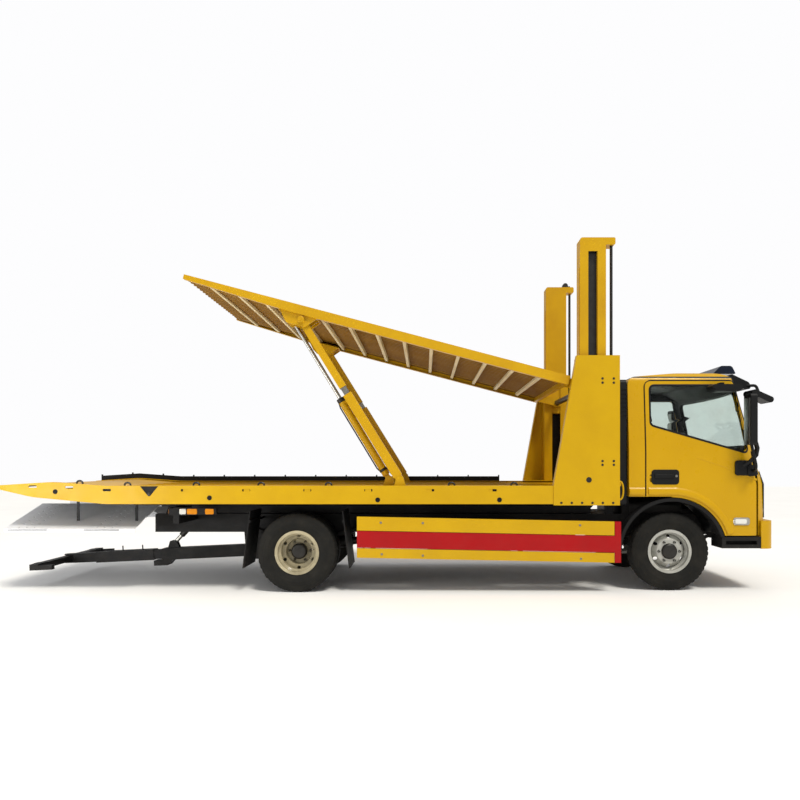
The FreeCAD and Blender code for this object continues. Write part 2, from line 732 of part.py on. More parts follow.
# Door outline, shared by the opening and the door
door_rear_x = 2603
door_front_x = 3776
door_bottom_z = 569
door_top_z = 2178
door_screen_x = 3545
door_shoulder_z = 1400
door_corner_radius = 85
door_gap = 6
door_inner_y = 880
door_flange_width = 20
hinge_x = 3770
hinge_y = 996
hinge_relief_depth = 126
hinge_relief_top_z = 1440
handle_x0 = 2650
handle_x1 = 2805
handle_z0 = 1120
handle_z1 = 1205
handle_depth = 22
window_rear_x = 2672
window_rear_z = 1712
window_front_x = 3672
window_front_z = 1418
window_top_x = 3545
window_top_z = 2115
window_corner_radius = 48
glass_inset = 14
glass_thickness = 5
seal_gap = 0.3


def door_outline():
    """The door: upright rear edge, top under the roof, front edge down the screen pillar."""
    return [(door_rear_x, door_bottom_z), (door_front_x, door_bottom_z),
            (door_front_x, door_shoulder_z, far_back / 2), (door_screen_x, door_top_z, door_corner_radius),
            (door_rear_x, door_top_z, door_corner_radius)]


def window_outline():
    """The side window, whose sill drops towards the front."""
    return [(window_rear_x, window_rear_z, window_corner_radius),
            (window_front_x, window_front_z, window_corner_radius),
            (window_top_x, window_top_z, window_corner_radius),
            (window_rear_x, window_top_z, window_corner_radius)]


screen_half_base = 860
screen_half_top = 775
screen_sill_z = 1345
screen_head_z = 2060
screen_corner_radius = 70


def screen_outline():
    """The windscreen from the front, wider at its sill."""
    return [(-screen_half_base, screen_sill_z, screen_corner_radius),
            (screen_half_base, screen_sill_z, screen_corner_radius),
            (screen_half_top, screen_head_z, screen_corner_radius),
            (-screen_half_top, screen_head_z, screen_corner_radius)]


def arch_cut(radius):
    """The round wheel arch through the cab."""
    return rod_y(front_axle_x, wheel_z, radius, -2 * far_back, 2 * far_back)


def cab():
    """Shell, windscreen, doors and their glass."""
    outer = cab_solid(0)
    cavity = cab_solid(cab_wall, footwell_back_x)
    inner_y = door_gap - door_inner_y
    seat = cab_tube(cab_wall - door_gap + seal_gap)
    opening = prism("xz", door_outline(), -2 * far_back, inner_y).cut(seat)
    opening = opening.fuse(prism("xz", shrunk(door_outline(), door_flange_width), -2 * far_back, inner_y)
                           .cut(cab_tube(cab_wall)))
    screen = prism("yz", screen_outline(), (roof_front_x + door_screen_x) / 2, 2 * half_length)
    tunnel = block(front_axle_x, tunnel_x1, -tunnel_y, tunnel_y, 0, tunnel_z)
    cover = block(front_axle_x, tunnel_x1 + cab_wall, -tunnel_y - cab_wall, tunnel_y + cab_wall, 0,
                  tunnel_z + cab_wall)
    shell = outer.cut(cavity.cut(cover)).cut(opening).cut(mirrored(opening)).cut(screen)
    shell = shell.cut(arch_cut(arch_radius)).cut(tunnel)
    node("cab_shell", max(shell.Solids, key=lambda s: s.Volume))
    pane = cab_solid(glass_inset).cut(cab_solid(glass_inset + glass_thickness))
    node("windscreen", pane.common(prism("yz", shrunk(screen_outline(), seal_gap),
                                         (roof_front_x + door_screen_x) / 2, 2 * half_length)))
    leaf = prism("xz", shrunk(door_outline(), door_gap), -2 * far_back, -door_inner_y)
    door = outer.common(leaf).cut(cab_tube(cab_wall - door_gap)).cut(arch_cut(arch_radius + door_gap))
    door = door.cut(prism("xz", window_outline(), -2 * far_back, 0))
    reach = hinge_x - hinge_relief_depth + door_gap
    relief = prism("xy", [(hinge_x + overrun, -hinge_y), (hinge_x + seal_gap, -hinge_y),
                          (reach, hinge_relief_depth - hinge_y),
                          (hinge_x + overrun, hinge_relief_depth - hinge_y)],
                   0, hinge_relief_top_z)
    door = door.cut(relief)
    handle_y = -cab_half_width
    recess = prism("xz", [(handle_x0, handle_z0, handle_depth), (handle_x1, handle_z0, handle_depth),
                          (handle_x1 - handle_depth, handle_z1, handle_depth),
                          (handle_x0, handle_z1, handle_depth)], handle_y - overrun, handle_y + handle_depth)
    grip_z = (handle_z0 + handle_z1) / 2
    grip = block(handle_x0 - door_gap, handle_x1 + door_gap, handle_y + door_gap / 2,
                 handle_y + handle_depth / 2, grip_z, grip_z + handle_depth)
    door = joined([door.cut(recess), grip.common(prism("xz", shrunk([(handle_x0, handle_z0),
                  (handle_x1, handle_z0), (handle_x1, handle_z1), (handle_x0, handle_z1)], -door_gap),
                  -2 * far_back, 0))])
    side_pane = cab_tube(glass_inset).cut(cab_tube(glass_inset + glass_thickness))
    pane = side_pane.common(prism("xz", shrunk(window_outline(), seal_gap), -2 * far_back, 0))
    node("door_right", door)
    node("door_left", mirrored(door))
    node("door_glass_right", pane)
    node("door_glass_left", mirrored(pane))


# Black arch liners, sills, bumper, grille, lamps and visor
liner_outer = 556
liner_inner = 522
liner_inner_y = 880
liner_outer_y = 1002
liner_rear_z = 400
sill_x0 = 3392
sill_x1 = 3790
sill_z0 = 445
sill_z1 = 560
sill_inner_y = 720
bumper_x0 = 3795
bumper_z0 = 440
bumper_z1 = 725
bumper_half_width = 992
bumper_corner_radius = 110
bumper_wall = 38
bumper_gap = 3
intake_half_width = 430
intake_z0 = 495
intake_z1 = 640
grille_half_width = 610
grille_z0 = 760
grille_z1 = 1040
grille_slats = 5
grille_depth = 22
grille_frame = 24
lamp_inner_edge_y = 660
lamp_bottom_z = 752
lamp_top_z = 1285
lamp_stand_off = 9
lamp_side_x = 3832
visor_x0 = 3540
visor_x1 = 3785
visor_half_width = 790
visor_bottom_z = 2098
visor_thickness = 70
bar_x0 = 3440
bar_x1 = 3690
bar_half_width = 640
bar_height = 88
bar_foot = 70
bracket_size = 20


def front_trim():
    """Liners and sills, the bumper, grille and headlamps, each following the cab's own skin."""
    liner = rod_y(front_axle_x, wheel_z, liner_outer, -liner_outer_y, -liner_inner_y)
    liner = liner.cut(rod_y(front_axle_x, wheel_z, liner_inner, -2 * far_back, 0))
    front_part = block(front_axle_x, sill_x1, -liner_outer_y, -liner_inner_y, sill_z1, roof_z)
    rear_part = block(cab_rear_x - liner_outer, front_axle_x, -liner_outer_y, -liner_inner_y, liner_rear_z,
                      roof_z)
    liner = liner.common(front_part.fuse(rear_part))
    sill = block(sill_x0, sill_x1, -cab_half_width, -sill_inner_y, sill_z0, sill_z1 + door_gap / 2)
    tread_z = (sill_z0 + sill_z1) / 2
    sill = sill.cut(block(sill_x0 + overrun, sill_x1 - overrun, -cab_half_width - overrun,
                          -cab_half_width + 2 * overrun, tread_z - overrun / 2, tread_z + overrun / 2))
    hanger = block(sill_x1 - 4 * overrun, sill_x1 - 2 * overrun, -sill_inner_y - overrun, -rail_y,
                   sill_z0 + overrun,
                   rail_bottom)
    node("arch_liners", pair(liner) + pair(joined([sill, hanger])))

    band = prism("xy", [(bumper_x0, -bumper_half_width), (half_length - bumper_wall, -bumper_half_width,
                 bumper_corner_radius), (half_length, -bumper_half_width / 2, bow_radius),
                 (half_length, bumper_half_width / 2, bow_radius),
                 (half_length - bumper_wall, bumper_half_width, bumper_corner_radius),
                 (bumper_x0, bumper_half_width)], bumper_z0, bumper_z1)
    inner = prism("xy", [(bumper_x0 - overrun, -bumper_half_width + bumper_wall),
                         (half_length - 2 * bumper_wall, -bumper_half_width + bumper_wall,
                          bumper_corner_radius),
                         (half_length - 2 * bumper_wall, bumper_half_width - bumper_wall,
                          bumper_corner_radius),
                         (bumper_x0 - overrun, bumper_half_width - bumper_wall)],
                  bumper_z0 - overrun, bumper_z1 - bumper_wall)
    intake = prism("yz", [(-intake_half_width, intake_z0, overrun), (intake_half_width, intake_z0, overrun),
                          (intake_half_width, intake_z1, overrun), (-intake_half_width, intake_z1, overrun)],
                   bumper_x0, 2 * half_length)
    band = band.cut(inner).cut(intake).cut(cab_solid(-bumper_gap))
    irons = pair(block(chassis_front_x - overrun, half_length - 2 * bumper_wall, rail_y - rail_width / 2,
                       rail_y + rail_width / 2, intake_z0 - overrun, cab_bottom_z - overrun / 2))
    drops = pair(block(chassis_front_x - 2 * overrun, chassis_front_x, rail_y - rail_width / 2,
                       rail_y + rail_width / 2, intake_z0 - overrun, rail_bottom))
    node("bumper", joined([band] + irons + drops).cut(Part.makeCompound(nodes["arch_liners"])))

    skin = cab_solid(-grille_depth).cut(cab_solid(-running_gap))
    frame = prism("yz", [(-grille_half_width, grille_z0, overrun), (grille_half_width, grille_z0, overrun),
                         (grille_half_width * grille_top_share, grille_z1, overrun),
                         (-grille_half_width * grille_top_share, grille_z1, overrun)], screen_top_x,
                         2 * half_length)
    panel = skin.common(frame)
    pitch = (grille_z1 - grille_z0 - 2 * grille_frame) / grille_slats
    thin = cab_solid(-grille_depth * 2).cut(cab_solid(-grille_depth / 2))
    for i in range(grille_slats):
        z = grille_z0 + grille_frame + pitch * (i + slat_gap_share)
        slot = block(screen_top_x, 2 * half_length, -grille_half_width * slat_width_share,
                     grille_half_width * slat_width_share, z, z + pitch * (1 - 2 * slat_gap_share))
        panel = panel.cut(thin.common(slot))
    node("grille", panel)

    lens = prism("yz", [(lamp_inner_edge_y, lamp_bottom_z, overrun / 2),
                        (2 * far_back, lamp_bottom_z, 0), (2 * far_back, lamp_top_z, 0),
                        (cab_half_width * lamp_peak_share, lamp_top_z, overrun),
                        (lamp_inner_edge_y, lamp_bottom_z + (lamp_top_z - lamp_bottom_z) / 2, overrun)],
                 lamp_side_x, 2 * half_length)
    lens = lens.common(prism("xz", [(lamp_side_x + overrun, lamp_bottom_z), (2 * half_length, lamp_bottom_z),
                                    (2 * half_length, lamp_top_z), (lamp_side_x, lamp_top_z)], 0,
                                    2 * far_back))
    lamp = cab_solid(-lamp_stand_off).cut(cab_solid(-running_gap)).common(lens)
    node("headlamps", pair(lamp))

    visor = prism("xz", [(visor_x0, roof_z - visor_thickness), (visor_x1 - visor_thickness, visor_bottom_z),
                         (visor_x1, visor_bottom_z, bracket_size), (visor_x1 - bracket_size, visor_bottom_z
                          + visor_thickness, overrun), (visor_x0, roof_z + bracket_size, overrun)],
                  -visor_half_width, visor_half_width).cut(cab_solid(-running_gap))
    visor = max(visor.Solids, key=lambda s: s.Volume)
    bar = prism("xz", [(bar_x0, roof_z + bracket_size), (bar_x1, roof_z + bracket_size, bracket_size / 2),
                       (bar_x1 - bar_height / 2, roof_z + bracket_size + bar_height, overrun),
                       (bar_x0 + bar_height, roof_z + bracket_size + bar_height, overrun)],
                -bar_half_width, bar_half_width)
    feet = pair(block(bar_x0 + bar_foot, bar_x0 + 2 * bar_foot, bar_half_width / 2,
                      bar_half_width / 2 + bar_foot,
                      roof_z - overrun, roof_z + 2 * bracket_size).cut(cab_solid(-running_gap)).cut(visor))
    feet = [max(f.Solids, key=lambda s: s.Volume) for f in feet]
    node("roof_fittings", [visor, joined([bar] + feet)])


grille_top_share = 0.92
slat_gap_share = 0.2
slat_width_share = 0.86
lamp_peak_share = 0.9

# Mirrors ride on the doors; the right door also has a kerb mirror, and the cab a front one
mirror_x0 = 3590
mirror_x1 = 3655
mirror_y0 = 1052
mirror_y1 = 1215
mirror_z0 = 1500
mirror_z1 = 2010
mirror_round = 28
arm_radius = 15
arm_base_x0 = 3640
arm_base_x1 = 3735
arm_base_z0 = 1185
arm_base_z1 = 1300
arm_base_depth = 40
arm_bend_radius = 70
kerb_x0 = 3215
kerb_x1 = 3550
kerb_z0 = 2040
kerb_z1 = 2130
kerb_y0 = 985
kerb_y1 = 1150
front_mirror_length = 236
front_mirror_height = 62
front_mirror_y0 = 745
front_mirror_y1 = 955
front_mirror_tilt = 24


def tube_path(points, bend, radius):
    """A round bar along straight runs joined by arcs of one bend radius."""
    places = [V(*p) for p in points]
    edges = []
    start = places[0]
    for before, here, after in zip(places, places[1:], places[2:]):
        back, ahead = (before - here).normalize(), (after - here).normalize()
        half = back.getAngle(ahead) / 2
        reach = bend / math.tan(half)
        inward = (back + ahead).normalize()
        crown = here + inward * (bend / math.sin(half) - bend)
        first, last = here + back * reach, here + ahead * reach
        edges += [Part.LineSegment(start, first).toShape(), Part.Arc(first, crown, last).toShape()]
        start = last
    edges.append(Part.LineSegment(start, places[-1]).toShape())
    path = Part.Wire(edges)
    ring_wire = Part.Wire(Part.makeCircle(radius, places[0], places[1] - places[0]))
    return path.makePipeShell([ring_wire], True, True)


def mirrors():
    """A tall rear mirror on each door with its bent arm, and the two small ones on the right."""
    head = prism("yz", [(-mirror_y1, mirror_z0, mirror_round), (-mirror_y0, mirror_z0, mirror_round),
                        (-mirror_y0, mirror_z1, mirror_round), (-mirror_y1, mirror_z1, mirror_round)],
                 mirror_x0, mirror_x1)
    mid_x = (mirror_x0 + mirror_x1) / 2
    base_x = (arm_base_x0 + arm_base_x1) / 2
    mid_y = -(mirror_y0 + mirror_y1) / 2
    base = prism("xz", [(arm_base_x0, arm_base_z0, overrun / 2), (arm_base_x1, arm_base_z0, overrun / 2),
                        (arm_base_x1, arm_base_z1, overrun / 2), (arm_base_x0, arm_base_z1, overrun / 2)],
                 -cab_half_width - arm_base_depth, -cab_half_width + door_gap / 2)
    base_z = (arm_base_z0 + arm_base_z1) / 2
    arm = tube_path([(base_x, -cab_half_width - arm_base_depth / 2, base_z), (base_x, mid_y, base_z),
                     (mid_x, mid_y, mirror_z0 + overrun)], arm_bend_radius, arm_radius)
    both_doors = joined([head, base, arm]).cut(nodes["door_right"][0])
    node("mirror_left", mirrored(both_doors))
    kerb = prism("xz", [(kerb_x0, kerb_z0 + overrun, overrun / 2), (kerb_x0 + 2 * overrun, kerb_z0,
                                                                    overrun / 2),
                        (kerb_x1 - overrun, kerb_z0, overrun / 2), (kerb_x1, kerb_z0 + overrun, overrun / 2),
                        (kerb_x1 - overrun, kerb_z1 - overrun / 2, overrun / 2),
                        (kerb_x0 + overrun, kerb_z1 - overrun / 2, overrun / 2)],
                 -kerb_y1, -kerb_y0)
    post_x = (kerb_x0 + kerb_x1) / 2
    post = block(post_x - overrun / 2, post_x + overrun / 2, -kerb_y0 - overrun, -roof_half_width,
                 kerb_z1 - overrun, kerb_z1 + overrun / 4)
    node("mirror_right", [both_doors, joined([kerb, post]).cut(nodes["door_right"][0])])
    low = prism("xz", [(-front_mirror_length / 2, -front_mirror_height / 2, mirror_round),
                       (front_mirror_length / 2, -front_mirror_height / 2, mirror_round),
                       (front_mirror_length / 2, front_mirror_height / 2, mirror_round),
                       (-front_mirror_length / 2, front_mirror_height / 2, mirror_round)],
                -front_mirror_y1, -front_mirror_y0)
    low.rotate(V(0, 0, 0), Y_AXIS, front_mirror_tilt)
    low.translate(V(half_length - front_mirror_length / 2 - overrun / 2, 0, screen_top_z - 2 * overrun))
    arm_y = -(front_mirror_y0 + front_mirror_y1) / 2
    arm = tube_path([(visor_x1 - visor_thickness, arm_y + 2 * overrun, visor_bottom_z + visor_thickness / 2),
                     (visor_x1 + overrun, arm_y + overrun, visor_bottom_z + visor_thickness / 2),
                     (half_length - front_mirror_length / 2, arm_y, screen_top_z - 2 * overrun)],
                    arm_bend_radius / 2, arm_radius)
    nodes["roof_fittings"].append(joined([low, arm]).cut(nodes["roof_fittings"][0]))


# Inside the cab
seat_x0 = 2640
seat_x1 = 3130
seat_half_width = 245
seat_y = 470
seat_base_height = 300
seat_back_top = 1980
seat_back_thickness = 130
seat_round = 55
seat_lean = 90
dash_x0 = 3500
dash_x1 = 3900
dash_bottom_z = 1180
dash_top_z = 1500
dash_half_width = 905
wheel_rim_radius = 205
wheel_rim_thickness = 15
steering_x = 3390
steering_z = 1520
steering_tilt = 52
column_radius = 28
spoke_width = 30


def interior():
    """Two seats, a dashboard and the steering wheel on its column."""
    floor = cab_step_z + cab_wall
    seat = prism("xz", [(seat_x0, floor, seat_round), (seat_x1, floor, seat_round),
                        (seat_x1, floor + seat_base_height, seat_round),
                        (seat_x0 + seat_back_thickness, floor + seat_base_height + overrun, seat_round),
                        (seat_x0 + seat_back_thickness - seat_lean, seat_back_top, seat_round),
                        (seat_x0 - seat_lean, seat_back_top, seat_round)],
                 seat_y - seat_half_width, seat_y + seat_half_width)
    dash = prism("xz", [(dash_x0 + overrun, dash_bottom_z, overrun), (dash_x1, dash_bottom_z),
                        (dash_x1, dash_top_z), (dash_x0 + 2 * overrun, dash_top_z, overrun),
                        (dash_x0, (dash_bottom_z + dash_top_z) / 2, overrun)], -dash_half_width,
                        dash_half_width)
    dash = dash.common(cab_solid(cab_wall + running_gap, footwell_back_x))
    node("cab_interior", pair(seat) + dash.Solids)
    rim = Part.makeTorus(wheel_rim_radius, wheel_rim_thickness)
    centre = Part.makeCylinder(column_radius * 2, column_radius, V(0, 0, -column_radius))
    spokes = [block(0, wheel_rim_radius, -spoke_width / 2, spoke_width / 2, -column_radius / 2, 0)
              .rotated(V(0, 0, 0), V(0, 0, 1), angle) for angle in (90, 210, 330)]
    column = Part.makeCylinder(column_radius, dash_x0 - steering_x + 3 * overrun, V(0, 0, 0), V(0, 0, -1))
    whole = joined([rim, centre, column] + spokes)
    whole.rotate(V(0, 0, 0), Y_AXIS, -steering_tilt)
    whole.translate(V(steering_x, seat_y, steering_z))
    node("steering_wheel", whole.cut(dash))


# Subframe that tilts on the chassis, and the lower bed that slides on it
subframe_x0 = -2460
subframe_x1 = 2180
subframe_y = 400
subframe_width = 60
subframe_z0 = 772
subframe_z1 = 848
tilt_pivot_x = -2440
tilt_pivot_z = 700
tilt_pin_radius = 28
tilt_ear_thickness = 22
tilt_ear_radius = 58
slide_pad_length = 260
bed_half_width = 1130
bed_bottom_z = 905
bed_top_z = 1090
floor_z = 1070
floor_thickness = 6
rail_depth = 62
rail_wall = 8
bed_front_x = 2300
tail_taper_x = -2860
tail_hump_x = -3400
tail_hump_z = 1128
tail_tip_top_z = 1092
tail_tip_bottom_z = 1062
tail_mid_x = -3600
tail_mid_z = 975
bed_beam_y = 400
bed_beam_width = 60
bed_beam_z0 = 854
cross_pitch = 610
cross_first_x = -3300
cross_last_x = 2200
cross_width = 60
slot_length = 82
slot_height = 24
slot_below_top = 34
slot_middles = (-3590, -3223, -2844, -2061, -1445, -830, -217, 404, 1032)
notch_x = -2420
notch_half = 92
notch_depth = 118
notch_inset = 5
kerb_rail_height = 60
kerb_rail_width = 34
kerb_rail_x0 = -3900
kerb_rail_x1 = 1330
kerb_post_height = 18
kerb_post_size = 16
kerb_post_count = 14
rib_half_width = 14
rib_height = 6
rib_count = 9


def bed_outline():
    """The side rail's outline, with the tapering tail."""
    return [(-half_length, tail_tip_bottom_z), (tail_mid_x, tail_mid_z, far_back),
            (tail_taper_x, bed_bottom_z, far_back),
            (bed_front_x, bed_bottom_z), (bed_front_x, bed_top_z), (tail_taper_x, bed_top_z, far_back),
            (tail_hump_x, tail_hump_z, far_back), (-half_length, tail_tip_top_z)]


def crossbar_low(x):
    """The underside of the bed's crossbar at x, which follows the tail's taper."""
    slope = (tail_mid_z - bed_bottom_z) / (tail_taper_x - tail_mid_x)
    return bed_bottom_z + overrun / 2 + max(0, tail_taper_x - x) * slope


def subframe():
    """Two long boxes with crossbars and, at the tail, ears round the tilt pin."""
    half = subframe_width / 2
    rail = block(subframe_x0, subframe_x1, subframe_y - half, subframe_y + half, subframe_z0, subframe_z1)
    ear_y = subframe_y + rail_width / 2 + moving_gap
    r = tilt_ear_radius
    ear = prism("xz", [(tilt_pivot_x - r, tilt_pivot_z - r, r * 3 / 4),
                       (tilt_pivot_x + r, tilt_pivot_z - r, r * 3 / 4),
                       (tilt_pivot_x + 2 * r, subframe_z1), (subframe_x0, subframe_z1),
                       (tilt_pivot_x - r, tilt_pivot_z + r)], ear_y, ear_y + tilt_ear_thickness)
    shoulder = block(subframe_x0, tilt_pivot_x + 2 * r, subframe_y, ear_y, subframe_z0, subframe_z1)
    bore = rod_y(tilt_pivot_x, tilt_pivot_z, tilt_pin_radius + running_gap, -bed_half_width, bed_half_width)
    parts = pair(rail) + pair(ear) + pair(shoulder)
    bars = subframe_bar_count
    for i in range(bars):
        x = subframe_x0 + (subframe_x1 - subframe_width - subframe_x0) * i / (bars - 1)
        parts.append(block(x, x + subframe_width, -subframe_y, subframe_y, subframe_z0, subframe_z1))
        parts += pair(block(max(x - slide_pad_length, subframe_x0), x + subframe_width, subframe_y - half,
                            subframe_y + half, subframe_z1, bed_beam_z0 - running_gap))
    node("subframe", joined(parts).cut(bore))
    inner, outer = rail_y - rail_width / 2, ear_y + tilt_ear_thickness + moving_gap
    pin = rod_y(tilt_pivot_x, tilt_pivot_z, tilt_pin_radius, inner, outer)
    boss = rod_y(tilt_pivot_x, tilt_pivot_z, tilt_ear_radius, rail_y - rail_width / 2 - tilt_ear_thickness,
                 rail_y + rail_width / 2)
    frame_parts.extend(pair(pin) + pair(boss))


subframe_bar_count = 6


def bed():
    """The lower bed: tray-section side rails with lashing slots, ribbed floor, beams and crossbars."""
    w = bed_half_width
    solid = prism("xz", bed_outline(), w - rail_depth, w)
    hollow = prism("xz", shrunk(bed_outline(), rail_wall), w - rail_depth - overrun, w - rail_wall)
    rail = solid.cut(hollow)
    cuts = []
    for middle in slot_middles:
        x = middle - slot_length / 2
        rise = max(0, tail_taper_x - x) * (tail_hump_z - bed_top_z) / (tail_taper_x - tail_hump_x)
        top = bed_top_z + min(rise, tail_hump_z - bed_top_z) - slot_below_top
        cuts.append(prism("xz", [(x, top - slot_height, slot_height / 3),
                                 (x + slot_length, top - slot_height, slot_height / 3),
                                 (x + slot_length, top, slot_height / 3), (x, top, slot_height / 3)],
                          w - rail_wall - overrun / 4, w + overrun))
    notch = prism("xz", [(notch_x - notch_half, bed_top_z - notch_inset),
                         (notch_x, bed_top_z - notch_depth, overrun / 2),
                         (notch_x + notch_half, bed_top_z - notch_inset)], w - rail_wall / 2, w + overrun)
    rail = rail.cut(Part.makeCompound(cuts + [notch]))
    parts = pair(rail)
    face_z = floor_z
    floor = [(-half_length + overrun, tail_tip_top_z - floor_thickness),
             (tail_hump_x, tail_hump_z - floor_thickness - rail_wall, far_back),
             (tail_taper_x, face_z, far_back), (bed_front_x, face_z), (bed_front_x, face_z - floor_thickness),
             (tail_taper_x, face_z - floor_thickness, far_back),
             (tail_hump_x, tail_hump_z - 2 * floor_thickness - rail_wall, far_back),
             (-half_length + overrun, tail_tip_top_z - 2 * floor_thickness)]
    deck = prism("xz", floor, -w + rail_wall, w - rail_wall)
    parts.append(deck)
    rib_space = 2 * (w - rail_depth) / rib_count
    for i in range(rib_count):
        y = -w + rail_depth + rib_space * (i + 1 / 2)
        parts.append(block(tail_taper_x, bed_front_x - rail_depth, y - rib_half_width, y + rib_half_width,
                           face_z - floor_thickness, face_z + rib_height))
    bars = int((cross_last_x - cross_first_x) / cross_pitch) + 1
    for i in range(bars):
        x = cross_first_x + i * cross_pitch
        parts.append(block(x, x + cross_width, -w + rail_wall / 2, w - rail_wall / 2, crossbar_low(x),
                           face_z - floor_thickness))
    half = bed_beam_width / 2
    parts += pair(block(tail_taper_x, bed_front_x - rail_depth, bed_beam_y - half, bed_beam_y + half,
                        bed_beam_z0,
                        face_z - floor_thickness))
    tail = block(-half_length + overrun / 2, -half_length + 2 * overrun, -w + rail_wall, w - rail_wall,
                 tail_tip_bottom_z + rail_wall / 2, tail_tip_top_z - rail_wall / 2)
    parts.append(tail)
    front = block(bed_front_x - rail_depth, bed_front_x, -w + rail_wall, w - rail_wall,
                  bed_bottom_z + overrun / 2,
                  face_z)
    parts.append(front)
    node("bed", joined(parts + strut_feet()))
    def kerb_line(x):
        """The height of the bed's side rail at x, along its tail hump."""
        xs = (-half_length, tail_hump_x, tail_taper_x, kerb_rail_x1)
        zs = (tail_tip_top_z, tail_hump_z, bed_top_z, bed_top_z)
        for x0, x1, z0, z1 in zip(xs, xs[1:], zs, zs[1:]):
            if x <= x1:
                return z0 + (x - x0) * (z1 - z0) / (x1 - x0)

    xs = (kerb_rail_x0, tail_hump_x, tail_taper_x, kerb_rail_x1)
    sink = rail_wall * 3 / 4
    low = [(x, kerb_line(x) - sink) for x in xs]
    y0 = w - rail_depth
    kerb = prism("xz", low + [(x, z + sink + kerb_rail_height / 2) for x, z in reversed(low)], y0,
                 y0 + kerb_rail_width)
    strip = prism("xz", low + [(x, z + sink + kerb_rail_height) for x, z in reversed(low)], y0,
                  y0 + kerb_rail_width / 4)
    posts = []
    span = (kerb_rail_x1 - kerb_rail_x0 - kerb_post_size) / (kerb_post_count - 1)
    for i in range(kerb_post_count):
        x = kerb_rail_x0 + i * span
        z = kerb_line(x) - sink
        posts.append(block(x, x + kerb_post_size, y0, y0 + kerb_post_size, z,
                           z + sink + kerb_rail_height + kerb_post_height))
    whole = joined([kerb, strip] + posts).cut(nodes["bed"][0])
    node("kerb_rail", max(whole.Solids, key=lambda s: s.Volume))


# Towers behind the cab: outer shrouds, guide columns, hydraulic barrels
tower_top_z = 2400
tower_top_x = 1875
tower_base_x = 1643
tower_outer_y = 1139
tower_plate = 8
tower_depth = 236
tower_skirt_z = 893
tower_clear_y = 1062
mast_x0 = 1918
mast_x1 = 2182
mast_y0 = 930
mast_y1 = 1085
guide_wall = 12
guide_top_z = 2385
guide_slot = 106
post_wall = 10
post_top_z = 3600
post_below_pin = 130
post_recess_width = 94
post_recess_depth = 50
post_recess_top_z = 3460
post_recess_bottom_z = 2050
post_round = 30
strip_top_z = 3300
strip_thickness = 4
arm_reach_x = 2278
arm_height = 72
ram_x = 2245
ram_y = 1040
ram_rod_radius = 15
ram_barrel_radius = 29
ram_barrel_top_z = 2360
ram_rod_bottom_z = 1950
lift_shaft_radius = 34
deck_pin_x = 2050
deck_pin_z = 2097
lift_travel = 760
sheave_radius = 34


def towers():
    """The tapering shrouds that stand on the bed's sides, with columns and barrels inside."""
    y1, y0 = tower_outer_y, tower_outer_y - tower_depth
    t = tower_plate
    base_z, front_x, plate_y = bed_top_z + t, bed_front_x + tower_plate, bed_half_width
    side = prism("xz", [(tower_base_x, tower_skirt_z), (front_x, tower_skirt_z), (front_x, tower_top_z),
                        (tower_top_x, tower_top_z), (tower_base_x, bed_top_z)], plate_y, y1)
    front = block(bed_front_x, front_x, y0, plate_y, base_z, tower_top_z)
    base = block(tower_base_x, front_x, y0, plate_y, bed_top_z, base_z)
    lean = (tower_top_x - tower_base_x) / (tower_top_z - bed_top_z)
    back_x = tower_base_x + lean * t
    back = prism("xz", [(back_x, base_z), (back_x + t, base_z), (tower_top_x + t, tower_top_z),
                        (tower_top_x, tower_top_z)], tower_clear_y, plate_y)
    node("tower_shrouds", pair(side) + pair(front) + pair(base) + pair(back))
    gap = guide_wall + moving_gap
    clear = moving_gap + strip_thickness
    x0, x1 = mast_x0 - clear - guide_wall, mast_x1 + clear + guide_wall
    top_y = plate_y
    column = block(x0, x1, mast_y0 - gap, top_y, bed_top_z + t, guide_top_z)
    column = column.cut(block(mast_x0 - clear, mast_x1 + clear, mast_y0 - moving_gap, mast_y1 + moving_gap,
                              bed_top_z, tower_top_z))
    slot_x = deck_pin_x - guide_slot / 2
    column = column.cut(block(slot_x, slot_x + guide_slot, mast_y0 - 2 * gap, mast_y0, bed_top_z,
                              tower_top_z))
    barrel = rod_z(ram_x, ram_y, ram_barrel_radius, bed_top_z + t, ram_barrel_top_z)
    bore = rod_z(ram_x, ram_y, ram_rod_radius + running_gap, bed_top_z + t + 2 * overrun, tower_top_z)
    node("mast_guides", pair(column) + pair(barrel.cut(bore)))


def lift_frame():
    """The two posts that rise out of the towers, their arms and rods, and the shaft between them."""
    y0, y1 = mast_y0, mast_y1
    bottom = deck_pin_z - post_below_pin
    post = prism("xz", [(mast_x0, bottom), (mast_x1, bottom), (mast_x1, post_top_z - arm_height),
                        (arm_reach_x, post_top_z - arm_height, post_round / 2),
                        (arm_reach_x, post_top_z, post_round / 2),
                        (mast_x0, post_top_z, post_round)], y0, y1)
    mid = (mast_x0 + mast_x1) / 2
    post = post.cut(block(mast_x0 + 3 * post_wall, mast_x1 - 3 * post_wall, y0 + post_wall,
                          y1 - post_recess_depth - post_wall, bottom - overrun, post_top_z - arm_height))
    post = post.cut(block(mid - post_recess_width / 2, mid + post_recess_width / 2, y1 - post_recess_depth,
                          y1 + overrun, post_recess_bottom_z, post_recess_top_z))
    strips = [block(x - strip_thickness, x, y0 + 2 * post_wall, y1 - 2 * post_wall, bottom, strip_top_z)
              for x in (mast_x0, mast_x1 + strip_thickness)]
    node("lift_posts", joined(pair(joined([post] + strips)) + [lift_shaft()]))
    rod = rod_z(ram_x, ram_y, ram_rod_radius, ram_rod_bottom_z, post_top_z - arm_height)
    sheave = joined([rod_y(mast_x1, post_top_z + sheave_radius, sheave_radius, y0 + 2 * post_round,
                           y1 - post_round),
                     block(mast_x1 - sheave_radius, arm_reach_x - post_round, y0 + 3 * post_round,
                           y1 - post_round * 3 / 2, post_top_z, post_top_z + sheave_radius)])
    node("lift_rods", pair(rod) + [sheave])


